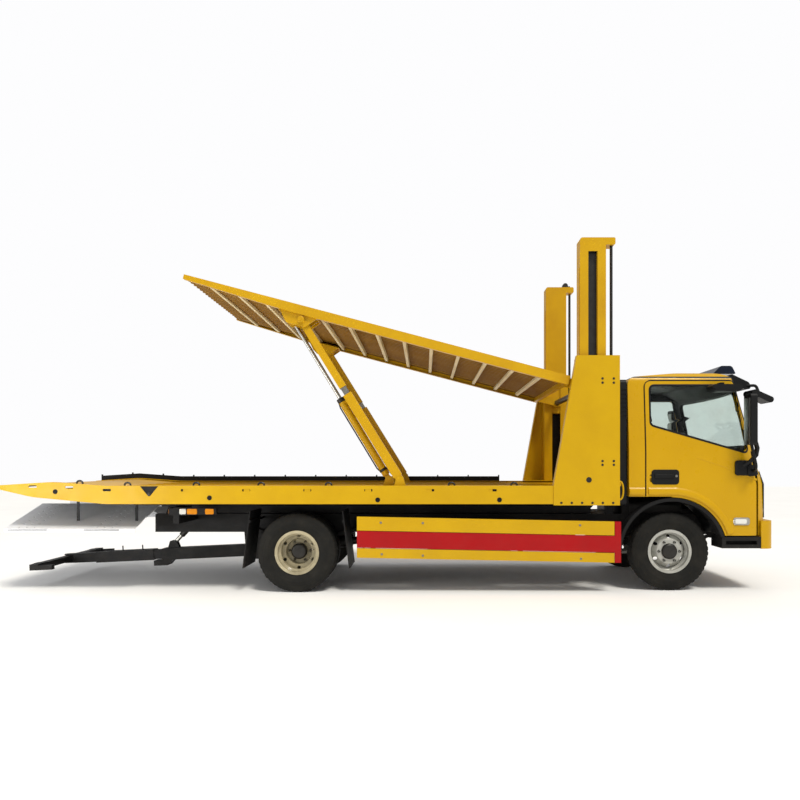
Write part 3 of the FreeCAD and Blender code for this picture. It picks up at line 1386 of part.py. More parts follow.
def lift_shaft():
    """The shaft across between the posts, that the upper deck hangs on."""
    return rod_y(deck_pin_x, deck_pin_z, lift_shaft_radius, -mast_y0, mast_y0)


# Upper deck, hinged on the shaft, its rear end raised by struts
deck_slope = 14.74
deck_length = 4300
deck_half_width = 1050
deck_rail_width = 52
deck_rail_height = 93
deck_tip_height = 46
deck_taper_length = 1150
deck_wall = 6
deck_floor_drop = 12
deck_floor_start = 240
wave_pitch = 100
wave_height = 22
deck_floor_thickness = 3
deck_bar_pitch = 292
deck_bar_width = 34
deck_bar_height = 36
deck_bar_count = 14
deck_hub_radius = 56
mast_clearance = 24
bracket_x = 2880
bracket_length = 400
bracket_drop = 112
bracket_cheek = 10
strut_y = 960
cylinder_y = 840
strut_pin_along = 3035
strut_pin_drop = 95
cylinder_pin_along = 3160
cylinder_pin_drop = 95
strut_foot_x = 95
cylinder_foot_x = -23
foot_z = 1150
foot_pin_radius = 16
foot_plate = 12
foot_half_length = 62
tube_size = 94
tube_wall = 6
tube_length = 1030
bar_size = 60
sleeve_size = 76
sleeve_length = 800
barrel_radius = 39
barrel_length = 985
barrel_start = 52
piston_rod_radius = 20
eye_radius = 38
bracket_space = 8


def deck_place(along, drop):
    """Where a point of the level deck, along from the pin and under its middle line, lies at rest."""
    a = math.radians(deck_slope)
    return (deck_pin_x - along * math.cos(a) - drop * math.sin(a),
            deck_pin_z + along * math.sin(a) - drop * math.cos(a))


def lowered_length(foot, along, drop):
    """From a strut's foot to its pin with the deck level and right down."""
    return math.dist(foot, (deck_pin_x - along, deck_pin_z - lift_travel - drop))


def upper_deck():
    """Rails with tapering tails, a corrugated floor over crossbars, hubs and strut brackets."""
    half = deck_rail_height / 2
    w = deck_half_width
    z = deck_pin_z
    tail = deck_pin_x - deck_length
    inner_w = mast_y0 - mast_clearance
    rail_form = [(tail, z + half - deck_tip_height), (tail + deck_taper_length, z - half),
                 (deck_pin_x - deck_floor_start, z - half),
                 (deck_pin_x - deck_floor_start, z + half), (tail, z + half)]
    rail = prism("xz", rail_form, w - deck_rail_width, w)
    rail = rail.cut(prism("xz", shrunk(rail_form, deck_wall), w - deck_rail_width - overrun, w - deck_wall))
    arm = block(deck_pin_x - deck_floor_start, deck_pin_x, inner_w - deck_rail_width, inner_w, z - half,
                z + half)
    hub_piece = rod_y(deck_pin_x, z, deck_hub_radius, inner_w - deck_rail_width, inner_w)
    bridge = block(deck_pin_x - deck_floor_start - deck_bar_width, deck_pin_x - deck_floor_start,
                   -w + deck_wall / 2,
                   w - deck_wall / 2, z - half, z + half)
    parts = pair(rail) + [bridge]
    top = z + half - deck_floor_drop
    waves = int((2 * (w - deck_rail_width)) / wave_pitch)
    left = -waves * wave_pitch / 2
    crest = []
    for i in range(waves):
        y = left + i * wave_pitch
        crest += [(y, top - wave_height), (y + wave_pitch / 4, top - wave_height), (y + wave_pitch / 2, top),
                  (y + wave_pitch * 3 / 4, top)]
    crest.append((left + waves * wave_pitch, top - wave_height))
    under = [(y, v - deck_floor_thickness) for y, v in reversed(crest)]
    floor = prism("yz", crest + under, tail + 2 * deck_wall, deck_pin_x - deck_floor_start - deck_wall)
    edge = w - deck_rail_width - waves * wave_pitch / 2
    parts += [floor] + pair(block(tail + 2 * deck_wall, deck_pin_x - deck_floor_start,
                                  waves * wave_pitch / 2 - edge,
                                  w - deck_wall / 2, top - wave_height - deck_floor_thickness,
                                  top - wave_height))
    for i in range(deck_bar_count):
        x = deck_pin_x - deck_floor_start - deck_bar_pitch * (i + 1)
        if x < tail + deck_bar_width:
            break
        bar_top = top - wave_height - deck_floor_thickness
        room = min(1, (x - tail + deck_taper_length / 4) / deck_taper_length)
        parts.append(block(x, x + deck_bar_width, -w + deck_wall / 2, w - deck_wall / 2,
                           bar_top - deck_bar_height * room, bar_top))
    x0 = deck_pin_x - bracket_x - bracket_length
    x1 = deck_pin_x - bracket_x
    cheek = prism("xz", [(x0, z - half + deck_wall), (x0 + bracket_length / 4, z - bracket_drop - half,
                                                      overrun),
                         (x1 - bracket_length / 4, z - bracket_drop - half, overrun),
                         (x1, z - half + deck_wall)], 0, bracket_cheek)
    y_out = strut_y + tube_size / 2 + moving_gap
    y_mid = cylinder_y + barrel_radius + bracket_cheek
    y_in = cylinder_y - barrel_radius - bracket_space - bracket_cheek
    for y in (y_out, y_mid, y_in):
        piece = cheek.copy()
        piece.translate(V(0, y, 0))
        parts += pair(piece)
    parts += pair(block(x0, x1, y_in, w - deck_wall / 2, z - half, z - half + deck_wall))
    cap_z = z - half + deck_wall
    parts += pair(block(x0, x0 + deck_wall, y_in, w - deck_wall / 2, cap_z - overrun / 2, cap_z))
    for along, drop, y in ((strut_pin_along, strut_pin_drop, y_out + bracket_cheek),
                           (cylinder_pin_along, cylinder_pin_drop, y_in - foot_pin_radius)):
        parts += pair(rod_y(deck_pin_x - along, z - drop, foot_pin_radius, y, y + foot_pin_radius))
    frame = joined(parts)
    node("upper_deck", swung(frame, deck_pin_x, deck_pin_z, deck_slope))
    bore = rod_y(deck_pin_x, z, lift_shaft_radius + running_gap, -w, w)
    arms = pair(joined([arm, hub_piece]).cut(bore))
    node("deck_arms", [swung(a, deck_pin_x, deck_pin_z, deck_slope) for a in arms])


def struts():
    """On each side a telescopic strut, and beside it the hydraulic cylinder that raises the deck."""
    top = deck_place(strut_pin_along, strut_pin_drop)
    foot = (strut_foot_x, foot_z)
    length = math.dist(top, foot)
    half, y = tube_size / 2, strut_y
    tube = block(-half, half, y - half, y + half, eye_radius, tube_length)
    tube = tube.cut(block(-half + tube_wall, half - tube_wall, y - half + tube_wall, y + half - tube_wall,
                          2 * eye_radius, tube_length + overrun))
    eye = rod_y(0, 0, eye_radius, y - half, y + half)
    tube = joined([tube, eye, block(-eye_radius, eye_radius, y - half, y + half, 0, 2 * eye_radius)])
    tube = tube.cut(rod_y(0, 0, foot_pin_radius + running_gap, 0, 2 * y))
    tail_z = length - lowered_length(foot, strut_pin_along, strut_pin_drop) + 2 * eye_radius + moving_gap
    b, s = bar_size / 2, sleeve_size / 2
    bar = block(-b, b, y - b, y + b, tail_z, length)
    guide = block(-half + tube_wall + running_gap, half - tube_wall - running_gap,
                  y - half + tube_wall + running_gap,
                  y + half - tube_wall - running_gap, tail_z, tail_z + bar_size)
    sleeve = block(-s, s, y - s, y + s, length - sleeve_length, length)
    top_eye = rod_y(0, length, s, y - s, y + s)
    upper = joined([bar, guide, sleeve, top_eye])
    for name, side in (("right", -1), ("left", 1)):
        for kind, shape in (("strut_tube_", tube), ("strut_bar_", upper)):
            placed = leaned(shape, foot, top)
            node(kind + name, placed if side > 0 else mirrored(placed))
    top = deck_place(cylinder_pin_along, cylinder_pin_drop)
    foot = (cylinder_foot_x, foot_z)
    length = math.dist(top, foot)
    y, r = cylinder_y, barrel_radius
    barrel_tube = Part.makeCylinder(r, barrel_length - barrel_start, V(0, y, barrel_start))
    barrel_tube = barrel_tube.cut(Part.makeCylinder(piston_rod_radius + running_gap, barrel_length,
                                                    V(0, y, 2 * eye_radius)))
    lug = joined([rod_y(0, 0, eye_radius, y - r * 2 / 3, y + r * 2 / 3),
                  block(-r * 2 / 3, r * 2 / 3, y - r * 2 / 3, y + r * 2 / 3, 0, 2 * eye_radius), barrel_tube])
    lug = lug.cut(rod_y(0, 0, foot_pin_radius + running_gap, 0, 2 * y))
    rod_tail = length - lowered_length(foot, cylinder_pin_along,
                                       cylinder_pin_drop) + 2 * eye_radius + moving_gap
    rod = joined([Part.makeCylinder(piston_rod_radius, length - rod_tail, V(0, y, rod_tail)),
                  rod_y(0, length, eye_radius * 4 / 5, y - r * 2 / 3, y + r * 2 / 3)])
    for name, side in (("right", -1), ("left", 1)):
        for kind, shape in (("cylinder_", lug), ("piston_rod_", rod)):
            placed = leaned(shape, foot, top)
            node(kind + name, placed if side > 0 else mirrored(placed))


def strut_feet():
    """The clevises on the bed that the struts and cylinders stand in."""
    parts = []
    for x, y, half in ((strut_foot_x, strut_y, tube_size / 2),
                       (cylinder_foot_x, cylinder_y, barrel_radius * 2 / 3)):
        for y0 in (y - half - moving_gap / 2 - foot_plate, y + half + moving_gap / 2):
            parts.append(prism("xz", [(x - foot_half_length, floor_z), (x + foot_half_length, floor_z),
                                      (x + foot_pin_radius * 2, foot_z + foot_pin_radius * 2,
                                       foot_pin_radius),
                                      (x - foot_pin_radius * 2, foot_z + foot_pin_radius * 2,
                                       foot_pin_radius)],
                               y0, y0 + foot_plate))
        parts.append(rod_y(x, foot_z, foot_pin_radius, y - half - moving_gap / 2 - foot_plate,
                           y + half + moving_gap / 2 + foot_plate))
    base = block(cylinder_foot_x - foot_half_length, strut_foot_x + foot_half_length,
                 cylinder_y - barrel_radius * 2 / 3 - moving_gap - foot_plate,
                 strut_y + tube_size / 2 + moving_gap + foot_plate,
                 floor_z, floor_z + foot_plate)
    return pair(joined(parts + [base]))


# Perforated aluminium ramps slung under the tail
ramp_x0 = -3930
ramp_x1 = -2600
ramp_inner_y = 310
ramp_width = 770
ramp_inner_z = 868
ramp_slope = 16.5
ramp_thickness = 5
ramp_flange = 34
ramp_lip = 58
ramp_hole_rows = (0.10, 0.16, 0.22, 0.70, 0.76, 0.82)
ramp_hole_count = 8
ramp_hole_radius = 11
hanger_size = 26
hanger_inset = 10
hanger_xs = (cross_first_x + hanger_inset, cross_first_x + cross_pitch + hanger_inset)


def ramps():
    """Each ramp is a folded sheet with rows of grip holes, sloping down to the outside."""
    y0, y1, z = ramp_inner_y, ramp_inner_y + ramp_width, ramp_inner_z
    t = ramp_thickness
    sheet = block(ramp_x0, ramp_x1, y0, y1, z - t, z)
    flanges = [block(ramp_x0, ramp_x1, y1 - t, y1, z - ramp_flange, z),
               block(ramp_x0, ramp_x1, y0, y0 + t, z - ramp_flange, z),
               prism("xz", [(ramp_x1 - t, z - t), (ramp_x1, z - t), (ramp_x1 + ramp_lip, z + ramp_lip - t),
                            (ramp_x1 + ramp_lip - t, z + ramp_lip)], y0 + ramp_width / 4,
                            y1 - ramp_width / 4)]
    holes = []
    for share in ramp_hole_rows:
        for i in range(ramp_hole_count):
            y = y0 + ramp_width * (i + 1 / 2) / ramp_hole_count
            holes.append(rod_z(ramp_x0 + share * (ramp_x1 - ramp_x0), y, ramp_hole_radius, z - 2 * t, z + t))
    ramp = joined([sheet] + flanges).cut(Part.makeCompound(holes))
    ramp.rotate(V(0, y0, z), V(1, 0, 0), -ramp_slope)
    straps = []
    for x in hanger_xs:
        straps.append(block(x, x + hanger_size, y0, y0 + hanger_size, z - t * 2,
                            crossbar_low(x - hanger_inset)))
        outer = y0 + ramp_width * 2 / 3
        low = z - (outer - y0) * math.tan(math.radians(ramp_slope)) - t
        straps.append(block(x, x + hanger_size, outer, outer + hanger_size / 2, low,
                            crossbar_low(x - hanger_inset)))
    node("ramps", pair(joined([ramp] + straps)))


# Wheel lift behind the rear axle: a boom on the chassis, its sliding nose and crossbar
boom_pivot_x = -1600
boom_pivot_z = 318
boom_slope = 2.7
boom_height = 132
boom_width = 150
boom_wall = 9
boom_length = 1080
boom_pin_radius = 26
nose_height = 104
nose_width = 122
nose_clearance = 3
nose_rear = 2110
nose_front = 520
collar_length = 110
sleeve_grow = 9
foot_drop = 62
foot_from = 960
foot_to = 1180
lock_pin_height = 62
lock_pin_radius = 7
lock_pin_alongs = (1330, 1560)
turntable_along = 2185
turntable_radius = 52
turntable_pin_radius = 24
crossbar_half = 760
crossbar_width = 92
crossbar_height = 64
fork_length = 190
fork_width = 58
cheek_thickness = 22
cheek_y = 90
lift_ram_top_x = -2330
lift_ram_top_z = 640
lift_ram_along = 960
lift_ram_lug_height = 150
lift_ram_radius = 42
lift_ram_rod_radius = 22
lift_ram_barrel = 215
lift_pin_radius = 18


def boom_place(along, above):
    """Where a point of the level boom, along rearwards from its pivot, lies at rest."""
    a = math.radians(boom_slope)
    return (boom_pivot_x - along * math.cos(a) - above * math.sin(a),
            boom_pivot_z - along * math.sin(a) + above * math.cos(a))


def wheel_lift():
    """Boom box, the nose that slides in it and the crossbar on its turntable."""
    px, pz = boom_pivot_x, boom_pivot_z
    hh, hw = boom_height / 2, boom_width / 2
    box = block(px - boom_length, px - boom_height, -hw, hw, pz - hh, pz + hh)
    box = box.cut(block(px - boom_length - overrun, px - boom_height - boom_wall, -hw + boom_wall,
                        hw - boom_wall,
                        pz - hh + boom_wall, pz + hh - boom_wall))
    eye = joined([rod_y(px, pz, hh, -hw, hw), block(px - boom_height - boom_wall, px, -hw, hw, pz - hh,
                                                    pz + hh)])
    foot = prism("xz", [(px - foot_to, pz - hh - foot_drop), (px - foot_from - foot_drop,
                                                              pz - hh - foot_drop),
                        (px - foot_from, pz - hh), (px - boom_length, pz - hh),
                        (px - foot_to, pz - hh - nose_clearance)],
                 -hw, hw)
    ears = []
    ear_gap = lift_ram_rod_radius + moving_gap
    for y in (-ear_gap - boom_wall, ear_gap):
        ears.append(prism("xz", [(px - lift_ram_along + hh, pz + hh - boom_wall / 2),
                                 (px - lift_ram_along - hh, pz + hh - boom_wall / 2),
                                 (px - lift_ram_along - lift_pin_radius * 2, pz + lift_ram_lug_height,
                                  lift_pin_radius),
                                 (px - lift_ram_along + lift_pin_radius * 2, pz + lift_ram_lug_height,
                                  lift_pin_radius)],
                          y, y + boom_wall))
    boom = joined([box, eye, foot] + ears).cut(rod_y(px, pz, boom_pin_radius + running_gap, -cheek_y * 2,
                                                     cheek_y * 2))
    node("lift_boom", swung(boom, px, pz, -boom_slope))
    nh, nw = nose_height / 2, nose_width / 2
    nose = block(px - nose_rear, px - nose_front, -nw, nw, pz - nh, pz + nh)
    nose = nose.cut(block(px - nose_rear + boom_wall, px - nose_front + overrun, -nw + boom_wall,
                          nw - boom_wall,
                          pz - nh + boom_wall, pz + nh - boom_wall))
    cy, cz = hw - boom_wall - running_gap, hh - boom_wall - running_gap
    collar = block(px - nose_front - collar_length, px - nose_front, -cy, cy, pz - cz, pz + cz)
    sleeve = block(px - nose_rear + boom_height * 2, px - foot_to, -nw - sleeve_grow, nw + sleeve_grow,
                   pz - nh - sleeve_grow, pz + nh + sleeve_grow)
    pins = [rod_z(px - along, 0, lock_pin_radius, pz + nh,
                  pz + nh + lock_pin_height) for along in lock_pin_alongs]
    half = crossbar_height / 2
    jaw = [block(px - turntable_along, px - nose_rear + boom_wall / 2, -turntable_radius, turntable_radius,
                 z0, z1)
           for z0, z1 in ((pz + half + moving_gap, pz + nh), (pz - nh, pz - half - moving_gap))]
    jaw += [rod_z(px - turntable_along, 0, turntable_radius, z0, z1)
            for z0, z1 in ((pz + half + moving_gap, pz + nh), (pz - nh, pz - half - moving_gap))]
    pin = rod_z(px - turntable_along, 0, turntable_pin_radius, pz - nh, pz + nh)
    node("lift_nose", swung(joined([nose, sleeve, collar] + pins + jaw + [pin]), px, pz, -boom_slope))
    cx = px - turntable_along
    bar = block(cx - crossbar_width / 2, cx + crossbar_width / 2, -crossbar_half, crossbar_half, pz - half,
                pz + half)
    bar = bar.cut(rod_z(cx, 0, turntable_pin_radius + running_gap, 0, rail_top))
    forks = pair(block(cx, cx + fork_length, crossbar_half - fork_width, crossbar_half, pz - half,
                       pz + half / 2))
    heads = pair(block(cx - crossbar_width / 2 - sleeve_grow / 3, cx + crossbar_width / 2 + sleeve_grow / 3,
                       crossbar_half - crossbar_width * 2,
                       crossbar_half - crossbar_width, pz - half - sleeve_grow / 3,
                       pz + half + sleeve_grow / 3))
    node("lift_crossbar", swung(joined([bar] + forks + heads), px, pz, -boom_slope))

    inner = hw + moving_gap
    cheek = prism("xz", [(px - boom_height * 3 / 4, pz - boom_height * 3 / 4, hh),
                         (px + boom_height * 3 / 4, pz - boom_height * 3 / 4, hh),
                         (px + boom_height * 2, rail_bottom + rail_width),
                         (px - boom_height, rail_bottom + rail_width)],
                   inner, inner + cheek_thickness)
    cross_z0 = rail_bottom + rail_width - overrun / 2
    reach = rail_y + rail_width / 2 - rail_thickness / 2
    span = block(px - boom_height, px + boom_height / 2, -reach, reach, cross_z0, cross_z0 + rail_width)
    pin = rod_y(px, pz, boom_pin_radius, -inner - cheek_thickness, inner + cheek_thickness)
    ram_y = lift_ram_radius + moving_gap
    top = block(lift_ram_top_x - rail_width / 2, lift_ram_top_x + rail_width / 2, -reach, reach,
                lift_ram_top_z + lift_ram_radius + moving_gap, lift_ram_top_z + lift_ram_radius + rail_width)
    lugs = pair(prism("xz", [(lift_ram_top_x - rail_width / 2, lift_ram_top_z - lift_ram_radius,
                              lift_pin_radius),
                             (lift_ram_top_x + rail_width / 2, lift_ram_top_z - lift_ram_radius,
                              lift_pin_radius),
                             (lift_ram_top_x + rail_width / 2,
                              lift_ram_top_z + lift_ram_radius + rail_width / 2),
                             (lift_ram_top_x - rail_width / 2,
                              lift_ram_top_z + lift_ram_radius + rail_width / 2)],
                      ram_y, ram_y + cheek_thickness / 2))
    ram_pin = rod_y(lift_ram_top_x, lift_ram_top_z, lift_pin_radius, -ram_y - cheek_thickness / 2,
                    ram_y + cheek_thickness / 2)
    frame_parts.extend(pair(cheek) + [span, pin, top, ram_pin] + lugs)

    above = lift_ram_lug_height - lift_pin_radius * 2
    eye_place = boom_place(lift_ram_along, above)
    head = (lift_ram_top_x, lift_ram_top_z)
    length = math.dist(head, eye_place)
    r, bore = lift_ram_radius, lift_ram_rod_radius + running_gap
    barrel = Part.makeCylinder(r * 4 / 5, lift_ram_barrel, V(0, 0, 0)).fuse(rod_y(0, 0, r, -r, r))
    barrel = barrel.cut(Part.makeCylinder(bore, lift_ram_barrel, V(0, 0, r + moving_gap)))
    barrel = barrel.cut(rod_y(0, 0, lift_pin_radius + running_gap, -r, r))
    node("lift_cylinder", leaned(barrel, head, eye_place))
    rod_tail = length - lift_ram_barrel + r + 2 * moving_gap
    rod = Part.makeCylinder(lift_ram_rod_radius, length - rod_tail, V(0, 0, rod_tail))
    rod = rod.fuse(rod_y(0, length, lift_ram_rod_radius * 3 / 2, -lift_ram_rod_radius, lift_ram_rod_radius))
    node("lift_piston", leaned(rod, head, eye_place))


# Air intake stack between the cab and the towers
intake_x0 = 2345
intake_x1 = 2425
intake_y0 = 560
intake_y1 = 960
intake_bottom_z = 880
intake_top_z = 2180
intake_rib_count = 7
intake_rib_height = 22
intake_rib_depth = 8


def air_intake():
    """The black intake stack behind the cab, with louvres near its top."""
    body = prism("yz", [(-intake_y1, intake_bottom_z, overrun), (-intake_y0, intake_bottom_z, overrun),
                        (-intake_y0, intake_top_z, overrun), (-intake_y1, intake_top_z, overrun)], intake_x0,
                        intake_x1)
    grooves = []
    for i in range(intake_rib_count):
        z = intake_top_z - overrun * 2 - 2 * intake_rib_height * (i + 1)
        grooves.append(block(intake_x0 - overrun, intake_x0 + intake_rib_depth, -intake_y1 + overrun / 2,
                             -intake_y0 - overrun / 2, z, z + intake_rib_height))
        grooves.append(block(intake_x0 + intake_rib_depth * 2, intake_x1 - intake_rib_depth,
                             -intake_y1 - overrun,
                             -intake_y1 + intake_rib_depth, z, z + intake_rib_height))
    foot = block(intake_x0, intake_x1, -intake_y0 - overrun, -rail_y + rail_width / 2,
                 intake_bottom_z + overrun,
                 intake_bottom_z + 2 * overrun)
    leg = block(intake_x0, intake_x1, -rail_y - rail_width / 2, -rail_y + rail_width / 2, rail_top,
                intake_bottom_z + overrun)
    node("air_intake", joined([body.cut(Part.makeCompound(grooves)), foot, leg]))


# Cab mounts carry the cab on the rails
mount_xs = (2520, 3600)
mount_size = 80


def cab_mounts():
    """Blocks under the cab. The rear pair stands on the rails, the front pair is part of the frame."""
    rear = block(mount_xs[0], mount_xs[0] + mount_size, rail_y - rail_width / 2, rail_y + rail_width / 2,
                 rail_top, cab_step_z)
    front = block(mount_xs[1], mount_xs[1] + mount_size, rail_y + rail_width / 2,
                  rail_y + rail_width / 2 + mount_size, rail_bottom - overrun / 2, cab_bottom_z)
    node("cab_mounts", pair(rear))
    frame_parts.extend(pair(front))


wheels()
chassis()
springs()
front_axle()
knuckles()
rear_axle()
driveline()
tank_and_battery()
side_panels()
mudguards()
tail_lamps()
cab()
front_trim()
mirrors()
interior()
subframe()
bed()
towers()
lift_frame()
upper_deck()
struts()
ramps()
wheel_lift()
air_intake()
cab_mounts()
node("chassis_frame", joined(frame_parts).cut(Part.makeCompound(nodes["arch_liners"])))

os.makedirs("parts", exist_ok=True)
for name, shapes in nodes.items():
    solids = [solid for shape in shapes for solid in shape.Solids]
    whole = solids[0] if len(solids) == 1 else Part.makeCompound(solids)
    whole.exportStep("parts/" + name + ".step")
    print(name, len(solids), "solids", round(sum(s.Volume for s in solids)), whole.isValid())
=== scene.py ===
import json
import math

import bmesh
import bpy
import numpy as np
from mathutils.bvhtree import BVHTree
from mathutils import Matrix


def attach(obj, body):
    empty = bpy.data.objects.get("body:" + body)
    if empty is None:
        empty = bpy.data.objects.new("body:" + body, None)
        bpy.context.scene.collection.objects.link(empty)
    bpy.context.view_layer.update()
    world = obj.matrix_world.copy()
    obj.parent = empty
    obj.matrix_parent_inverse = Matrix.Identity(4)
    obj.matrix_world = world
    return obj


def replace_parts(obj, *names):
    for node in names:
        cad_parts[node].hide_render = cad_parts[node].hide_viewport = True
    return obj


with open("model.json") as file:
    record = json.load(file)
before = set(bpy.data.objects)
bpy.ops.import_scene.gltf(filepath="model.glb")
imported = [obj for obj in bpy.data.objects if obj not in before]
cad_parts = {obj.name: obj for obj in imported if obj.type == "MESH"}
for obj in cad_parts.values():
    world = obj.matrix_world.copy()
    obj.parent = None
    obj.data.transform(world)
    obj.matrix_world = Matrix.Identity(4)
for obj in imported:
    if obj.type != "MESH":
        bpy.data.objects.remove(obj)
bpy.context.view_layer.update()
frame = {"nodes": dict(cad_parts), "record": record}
bodyOf = {node: body for body, nodes in frame["record"]["behaviour"]["bodies"].items() for node in nodes}
sides = {"right": -1, "left": 1}
print("frame loaded:", len(frame["nodes"]), "nodes")


cabSide = {"skinY": 0.997, "leastY": 0.90, "fromY": 1.6}


def unit(vector):
    # the same direction, one long; works on one vector or on rows of them
    vector = np.asarray(vector, float)
    return vector / np.linalg.norm(vector, axis=-1, keepdims=True)


def gridFaces(rows, columns, closeU, closeV):
    # quads between neighbouring rows and columns; a closed direction joins its last line to its first
    u, v = np.meshgrid(np.arange(rows - (not closeU)), np.arange(columns - (not closeV)), indexing="ij")
    nextU, nextV = (u + 1) % rows, (v + 1) % columns
    corners = [u * columns + v, nextU * columns + v, nextU * columns + nextV, u * columns + nextV]
    return np.stack(corners, -1).reshape(-1, 4).tolist()


def tubeOf(rings):
    # closed rings in a row, each joined to the next, with a flat face over the first and the last
    rows, columns = rings.shape[:2]
    ends = [list(range(columns)), list(range((rows - 1) * columns, rows * columns))]
    return rings.reshape(-1, 3), gridFaces(rows, columns, False, True) + ends


def roundedSection(width, height, corner, steps=4):
    # a rectangle whose corners are quarter circles: corner centre + corner * (cos, sin) for each quarter
    turn = np.linspace(0, math.pi / 2, steps)[None] + np.arange(4)[:, None] * math.pi / 2
    centre = np.array([(1, 1), (-1, 1), (-1, -1), (1, -1)]) * (width / 2 - corner, height / 2 - corner)
    return (centre[:, None] + corner * np.stack([np.cos(turn), np.sin(turn)], -1)).reshape(-1, 2)


def circleSection(radius, steps=16):
    # radius * (cos, sin) round the full turn
    turn = np.arange(steps) * 2 * math.pi / steps
    return radius * np.stack([np.cos(turn), np.sin(turn)], -1)


def carried(section, path, up=(0, 0, 1), grow=None):
    # the section stands across the path at each of its points: point + sideways * s0 + upwards * s1
    path = np.asarray(path, float)
    along = unit(np.gradient(path, axis=0))
    sideways = unit(np.cross(along, up))
    upwards = np.cross(sideways, along)
    sizes = np.ones(len(path)) if grow is None else np.asarray(grow, float)
    flat = sizes[:, None, None] * section[None]
    rings = path[:, None] + flat[..., :1] * sideways[:, None] + flat[..., 1:] * upwards[:, None]
    return tubeOf(rings)


def roundedBar(start, end, width, height, corner, bevel=0.0015, up=(0, 0, 1)):
    # a rounded rectangle carried from start to end and drawn in by the bevel at both ends
    start, end = np.asarray(start, float), np.asarray(end, float)
    along = unit(end - start)
    path = np.array([start, start + bevel * along, end - bevel * along, end])
    sideways = unit(np.cross(along, up))
    upwards = np.cross(sideways, along)
    full = roundedSection(width, height, corner)
    small = roundedSection(width - 2 * bevel, height - 2 * bevel, max(corner - bevel, 0.0003))
    flat = np.array([small, full, full, small])
    return tubeOf(path[:, None] + flat[..., :1] * sideways + flat[..., 1:] * upwards)


def turned(profile, centre, axis, steps=48):
    # the profile's (radius, height) pairs go round the axis:
    # centre + height * axis + radius * (a cos t + b sin t)
    profile, axis = np.asarray(profile, float), unit(axis)
    a = unit(np.cross(axis, (0, 0, 1) if abs(axis[2]) < 0.9 else (1, 0, 0)))
    b = np.cross(axis, a)
    turn = np.arange(steps) * 2 * math.pi / steps
    round_ = np.cos(turn)[:, None] * a + np.sin(turn)[:, None] * b
    points = np.asarray(centre, float) + profile[None, :, 1:] * axis + profile[None, :, :1] * round_[:, None]
    return points.reshape(-1, 3), gridFaces(steps, len(profile), True, False)


def copies(form, places):
    # the same form once at each place, as one set of points and faces
    points, faces = form
    places = np.asarray(places, float).reshape(-1, 3)
    moved = (places[:, None] + points[None]).reshape(-1, 3)
    return moved, [[k * len(points) + i for i in face] for k in range(len(places)) for face in faces]


def together(*forms):
    # several forms as one set of points and faces
    points, faces, first = [], [], 0
    for formPoints, formFaces in forms:
        points.append(formPoints)
        faces += [[first + i for i in face] for face in formFaces]
        first += len(formPoints)
    return np.concatenate(points), faces


def shadeByAngle(mesh, degrees):
    # smooth faces, with a hard line at every edge that is sharper than the angle
    shape = bmesh.new()
    shape.from_mesh(mesh)
    for face in shape.faces:
        face.smooth = True
    for edge in shape.edges:
        edge.smooth = len(edge.link_faces) == 2 and edge.calc_face_angle(0) < math.radians(degrees)
    shape.to_mesh(mesh)
    shape.free()


def welded(mesh, reach, outwards):
    # joins the corners that lie within reach of each other, and turns the faces outwards where asked
    shape = bmesh.new()
    shape.from_mesh(mesh)
    bmesh.ops.remove_doubles(shape, verts=shape.verts, dist=reach)
    if outwards:
        bmesh.ops.recalc_face_normals(shape, faces=shape.faces)
    shape.to_mesh(mesh)
    shape.free()


def placed(name, mesh, body, angle):
    # a shaded mesh becomes an object at the origin that rides on a body
    shadeByAngle(mesh, angle)
    piece = bpy.data.objects.new(name, mesh)
    bpy.context.scene.collection.objects.link(piece)
    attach(piece, body)
    return piece


def makePiece(name, form, body, material, angle=35):
    # a closed form of points and faces becomes a piece of one material
    mesh = bpy.data.meshes.new(name)
    mesh.from_pydata(np.asarray(form[0]).tolist(), [], form[1])
    welded(mesh, 1e-6, True)
    mesh.materials.append(material)
    return placed(name, mesh, body, angle)


def dressNode(node, name, materials, choose=None, angle=32):
    # a merged copy of a CAD node with smooth curves;
    # choose gives each face its material from its centre and normal
    mesh = frame["nodes"][node].data.copy()
    mesh.name = name
    welded(mesh, 2e-6, False)
    mesh.materials.clear()
    for material in materials:
        mesh.materials.append(material)
    centres, normals = np.zeros(len(mesh.polygons) * 3), np.zeros(len(mesh.polygons) * 3)
    mesh.polygons.foreach_get("center", centres)
    mesh.polygons.foreach_get("normal", normals)
    picked = np.zeros(len(mesh.polygons), int)
    if choose:
        picked = np.asarray(choose(centres.reshape(-1, 3), normals.reshape(-1, 3)), int)
    mesh.polygons.foreach_set("material_index", picked)
    piece = placed(name, mesh, bodyOf[node], angle)
    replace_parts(piece, node)
    return piece


def skinOf(*pieces):
    # a search tree over the faces of several objects that sit at the origin
    forms = []
    for piece in pieces:
        points = np.zeros(len(piece.data.vertices) * 3)
        piece.data.vertices.foreach_get("co", points)
        forms.append((points.reshape(-1, 3), [list(p.vertices) for p in piece.data.polygons]))
    points, faces = together(*forms)
    return BVHTree.FromPolygons(points.tolist(), faces)


